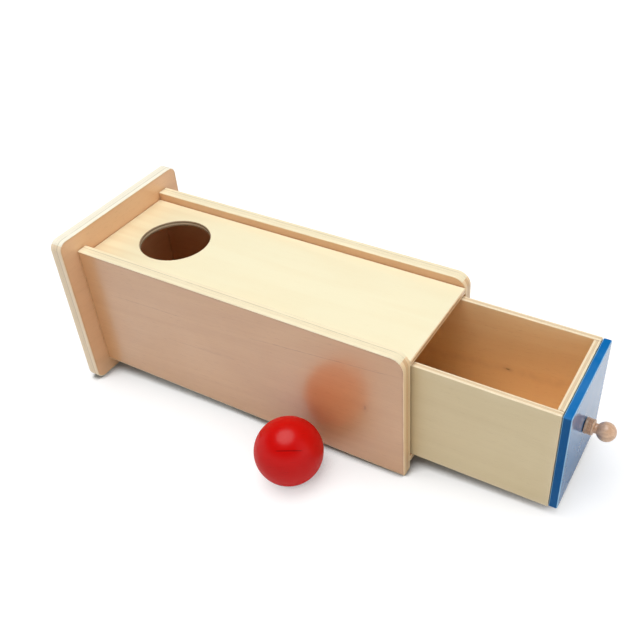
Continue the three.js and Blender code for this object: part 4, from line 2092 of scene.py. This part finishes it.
@dataclass
class LooseBall:
    """The red wooden ball, with a faint turning mark round it."""

    radius: float = 20.0
    mark_depth: float = 0.015
    mark_half: float = 0.35
    axis: Triple = (-0.3197, 0.6526, 0.6870)
    marked_side: Triple = (0.4571, -0.5289, 0.7151)
    half_steps: int = 60
    turn_steps: int = 128

    def profile(self) -> list[Pair]:
        """The ball's profile from pole to pole, with the mark at its middle.

        Returns:
            Points along the axis and away from it.
        """
        points: list[Pair] = [(-self.radius, 0.0)]
        side = math.degrees(math.asin(self.mark_half / self.radius))
        steps = self.half_steps
        angles = [180.0 - (90.0 - side) * step / steps for step in range(1, steps + 1)]
        angles += [90.0 + side * 0.5, 90.0, 90.0 - side * 0.5]
        angles += [90.0 - side - (90.0 - side) * step / steps for step in range(steps)]
        for angle in angles:
            share = 1.0 - min(abs(angle - 90.0) / side, 1.0)
            reach = self.radius - self.mark_depth * share
            points.append((reach * math.cos(math.radians(angle)), reach * math.sin(math.radians(angle))))
        return [*points, (self.radius, 0.0)]

    def build(self, shop: Workshop) -> None:
        """Builds the ball where the CAD ball is.

        Args:
            shop: What it is built with.
        """
        low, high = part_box("ball")
        middle = Vector(((low.x + high.x) / 2, (low.y + high.y) / 2, low.z + self.radius * MM))
        axis = Vector(self.axis).normalized()
        across = axis.cross(Vector(self.marked_side)).normalized()
        turn = Matrix((across.cross(axis), across, axis)).to_euler()
        paint = shop.finishes.ball.dress(tuple(middle), tuple(turn))
        sizes = {"Steps": self.turn_steps, "Material": paint}
        piece = shop.turned.turn("ball_turned", self.profile(), sizes)
        lay = Vector((1.0, 0.0, 0.0)).rotation_difference(axis).to_matrix().to_4x4()
        piece.data.transform(Matrix.Translation(middle) @ lay @ Matrix.Scale(MM, 4))
        piece.data.update()
        settle(piece, "ball", ["ball"])


# Studio


@dataclass(frozen=True)
class Lamp:
    """A round softbox that faces the object: its power in watts, its width and its place in metres."""

    name: str
    power: float
    size: float
    place: Triple


@dataclass(frozen=True)
class Cover:
    """How pieces near the floor dim its lift, as painted contact shadow.

    The reach is how far it looks in metres. The lift is least up to one share of open air and whole from
    another. Round the ball's resting place the floor gets painted light, counted as open air, whole up to a
    start from its foot and fading out by an end.
    """

    reach: float
    start: float
    end: float
    least: float = 0.0
    painted_ball_light: float = 0.0
    ball_start: float = 0.025
    ball_end: float = 0.055
    samples: int = 8


@dataclass
class Studio:
    """The floor, the light and the camera."""

    floor_half: float = 6.0
    floor_level: float = -0.0001
    floor_roughness: float = 0.9
    floor_colour: Colour = (0.86, 0.86, 0.86, 1.0)
    floor_seen: Colour = (0.45, 0.45, 0.45, 1.0)
    floor_lift: float = 0.7
    mirrored_lift: float = 0.04
    far_lift: float = 0.4
    far_start: float = 0.4
    far_end: float = 1.2
    # Painted contact shadow on the floor near pieces, and painted light round the ball's resting place.
    covers: tuple[Cover, ...] = (
        Cover(0.007, 0.5, 0.8, painted_ball_light=0.5, ball_start=0.014, ball_end=0.024),
        Cover(0.03, 0.12, 0.36, painted_ball_light=0.16),
        Cover(0.12, 0.21, 0.38, painted_ball_light=0.16),
        Cover(0.12, 0.3, 0.65, least=0.72, painted_ball_light=0.12, ball_start=0.015, ball_end=0.035),
    )
    ceiling: float = 0.12
    ceiling_start: float = 0.12
    ceiling_end: float = 0.6
    lamps: tuple[Lamp, ...] = (
        Lamp("overhead_softbox", 12.2, 1.1, (-0.08, -0.03, 1.2)),
        Lamp("right_softbox", 2.0, 1.2, (1.1, 0.25, 0.75)),
    )
    camera_place: Triple = (0.22810, -0.30960, 0.36774)
    camera_right: Triple = (0.8639, 0.4964, -0.0854)
    camera_up: Triple = (-0.2466, 0.5647, 0.7876)
    sensor: float = 36.0
    lens: float = 47.28
    shift: Pair = (-0.0461, 0.0022)
    clip: Pair = (0.01, 20.0)

    def floor(self) -> None:
        """Lays the pale floor, which looks white, keeps the shadow and is clear from below."""
        half = self.floor_half
        corners = ((-half, -half), (half, -half), (half, half), (-half, half))
        mesh = bpy.data.meshes.new("studio_floor")
        mesh.from_pydata([(x, y, self.floor_level) for x, y in corners], [], [(0, 1, 2, 3)])
        floor = bpy.data.objects.new("studio_floor", mesh)
        show(floor)
        mesh.materials.append(self.paper())

    def paper(self) -> Material:
        """Makes the floor's paper.

        Returns:
            The material.
        """
        material = bpy.data.materials.new("studio_floor_paper")
        material.use_nodes = True
        w = Wiring(material.node_tree)
        shader = w.find("BSDF_PRINCIPLED")
        path = w.add("ShaderNodeLightPath").outputs
        seen = w.math("MAXIMUM", path["Is Camera Ray"], path["Is Transmission Ray"])
        w.join(w.blend(seen, self.floor_colour, self.floor_seen), shader.inputs["Base Color"])
        shader.inputs["Roughness"].default_value = self.floor_roughness
        shader.inputs["Specular IOR Level"].default_value = 0.0
        shader.inputs["Emission Color"].default_value = WHITE
        w.join(self.lift(w, seen, path["Is Glossy Ray"]), shader.inputs["Emission Strength"])
        clear = w.add("ShaderNodeBsdfTransparent").outputs["BSDF"]
        behind = w.add("ShaderNodeNewGeometry").outputs["Backfacing"]
        feeds = {0: behind, 1: shader.outputs["BSDF"], 2: clear}
        sheet = w.add("ShaderNodeMixShader", feeds).outputs["Shader"]
        output = w.find("OUTPUT_MATERIAL")
        w.join(sheet, output.inputs["Surface"])
        return material

    def lift(self, w: Wiring, seen: Socket, mirrored: Socket) -> Socket:
        """Lifts the floor to white, with painted contact shadow near pieces and painted light by the ball.

        Args:
            w: The wiring of the floor's material.
            seen: 1 where the floor is seen straight.
            mirrored: 1 where it is seen in a reflection.

        Returns:
            The strength of the floor's own light.
        """
        place = w.add("ShaderNodeTexCoord").outputs["Object"]
        far = w.ramp(w.length(place), self.far_start, self.far_end, 0.0, self.far_lift)
        straight = w.times(seen, w.math("ADD", far, self.floor_lift))
        lift = w.math("MULTIPLY_ADD", mirrored, self.mirrored_lift, straight)
        low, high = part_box("ball")
        ball_foot = ((low.x + high.x) / 2, (low.y + high.y) / 2, self.floor_level)
        from_ball = w.length(w.vector("SUBTRACT", place, ball_foot))
        for cover in self.covers:
            feeds = {"Distance": cover.reach}
            seen_air = w.add("ShaderNodeAmbientOcclusion", feeds, samples=cover.samples).outputs["AO"]
            # Painted light on the floor round the ball's resting place, which stays there when the ball
            # moves.
            painted_ball_spot = w.ramp(from_ball, cover.ball_start, cover.ball_end, cover.painted_ball_light, 0.0)
            open_air = w.math("ADD", seen_air, painted_ball_spot)
            lift = w.times(lift, w.ramp(open_air, cover.start, cover.end, cover.least))
        return lift

    def light(self) -> None:
        """Hangs the softboxes in a room that is white round the horizon under a dim ceiling."""
        for lamp in self.lamps:
            data = bpy.data.lights.new(lamp.name, "AREA")
            data.shape, data.size, data.energy = "DISK", lamp.size, lamp.power
            hung = bpy.data.objects.new(lamp.name, data)
            hung.location = lamp.place
            hung.rotation_euler = Vector(lamp.place).to_track_quat("Z", "Y").to_euler()
            show(hung)
        world = bpy.data.worlds.new("white_room")
        world.use_nodes = True
        bpy.context.scene.world = world
        w = Wiring(world.node_tree)
        room = w.find("BACKGROUND")
        room.inputs["Color"].default_value = WHITE
        rise = w.split(w.add("ShaderNodeTexCoord").outputs["Generated"])[2]
        strength = w.ramp(rise, self.ceiling_start, self.ceiling_end, 1.0, self.ceiling)
        w.join(strength, room.inputs["Strength"])

    def camera(self) -> None:
        """Sets the camera at the photograph's angle."""
        data = bpy.data.cameras.new("photo_camera")
        data.sensor_fit = "HORIZONTAL"
        data.sensor_width = self.sensor
        data.lens = self.lens
        data.shift_x, data.shift_y = self.shift
        data.clip_start, data.clip_end = self.clip
        camera = bpy.data.objects.new("photo_camera", data)
        right = Vector(self.camera_right).normalized()
        back = right.cross(Vector(self.camera_up)).normalized()
        up = back.cross(right)
        turn = Matrix((right, up, back)).transposed().to_4x4()
        camera.matrix_world = Matrix.Translation(self.camera_place) @ turn
        show(camera)
        bpy.context.scene.camera = camera

    def build(self) -> None:
        """Builds the studio."""
        bpy.context.scene.view_settings.view_transform = "Standard"
        self.floor()
        self.light()
        self.camera()


def main() -> None:
    """Builds the sub-assemblies in order."""
    logging.basicConfig(level=logging.INFO, format="%(message)s")
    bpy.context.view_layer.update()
    Studio().build()
    box, drawer = Case(), Drawer()
    shop = Workshop(CaseFrame.from_cad(box.plate_thickness), Finishes(), TurnedTree(), PegRowTree())
    box.build(shop)
    drawer.build(shop)
    Knob().build(shop, drawer)
    LooseBall().build(shop)


if __name__ == "__main__":
    main()
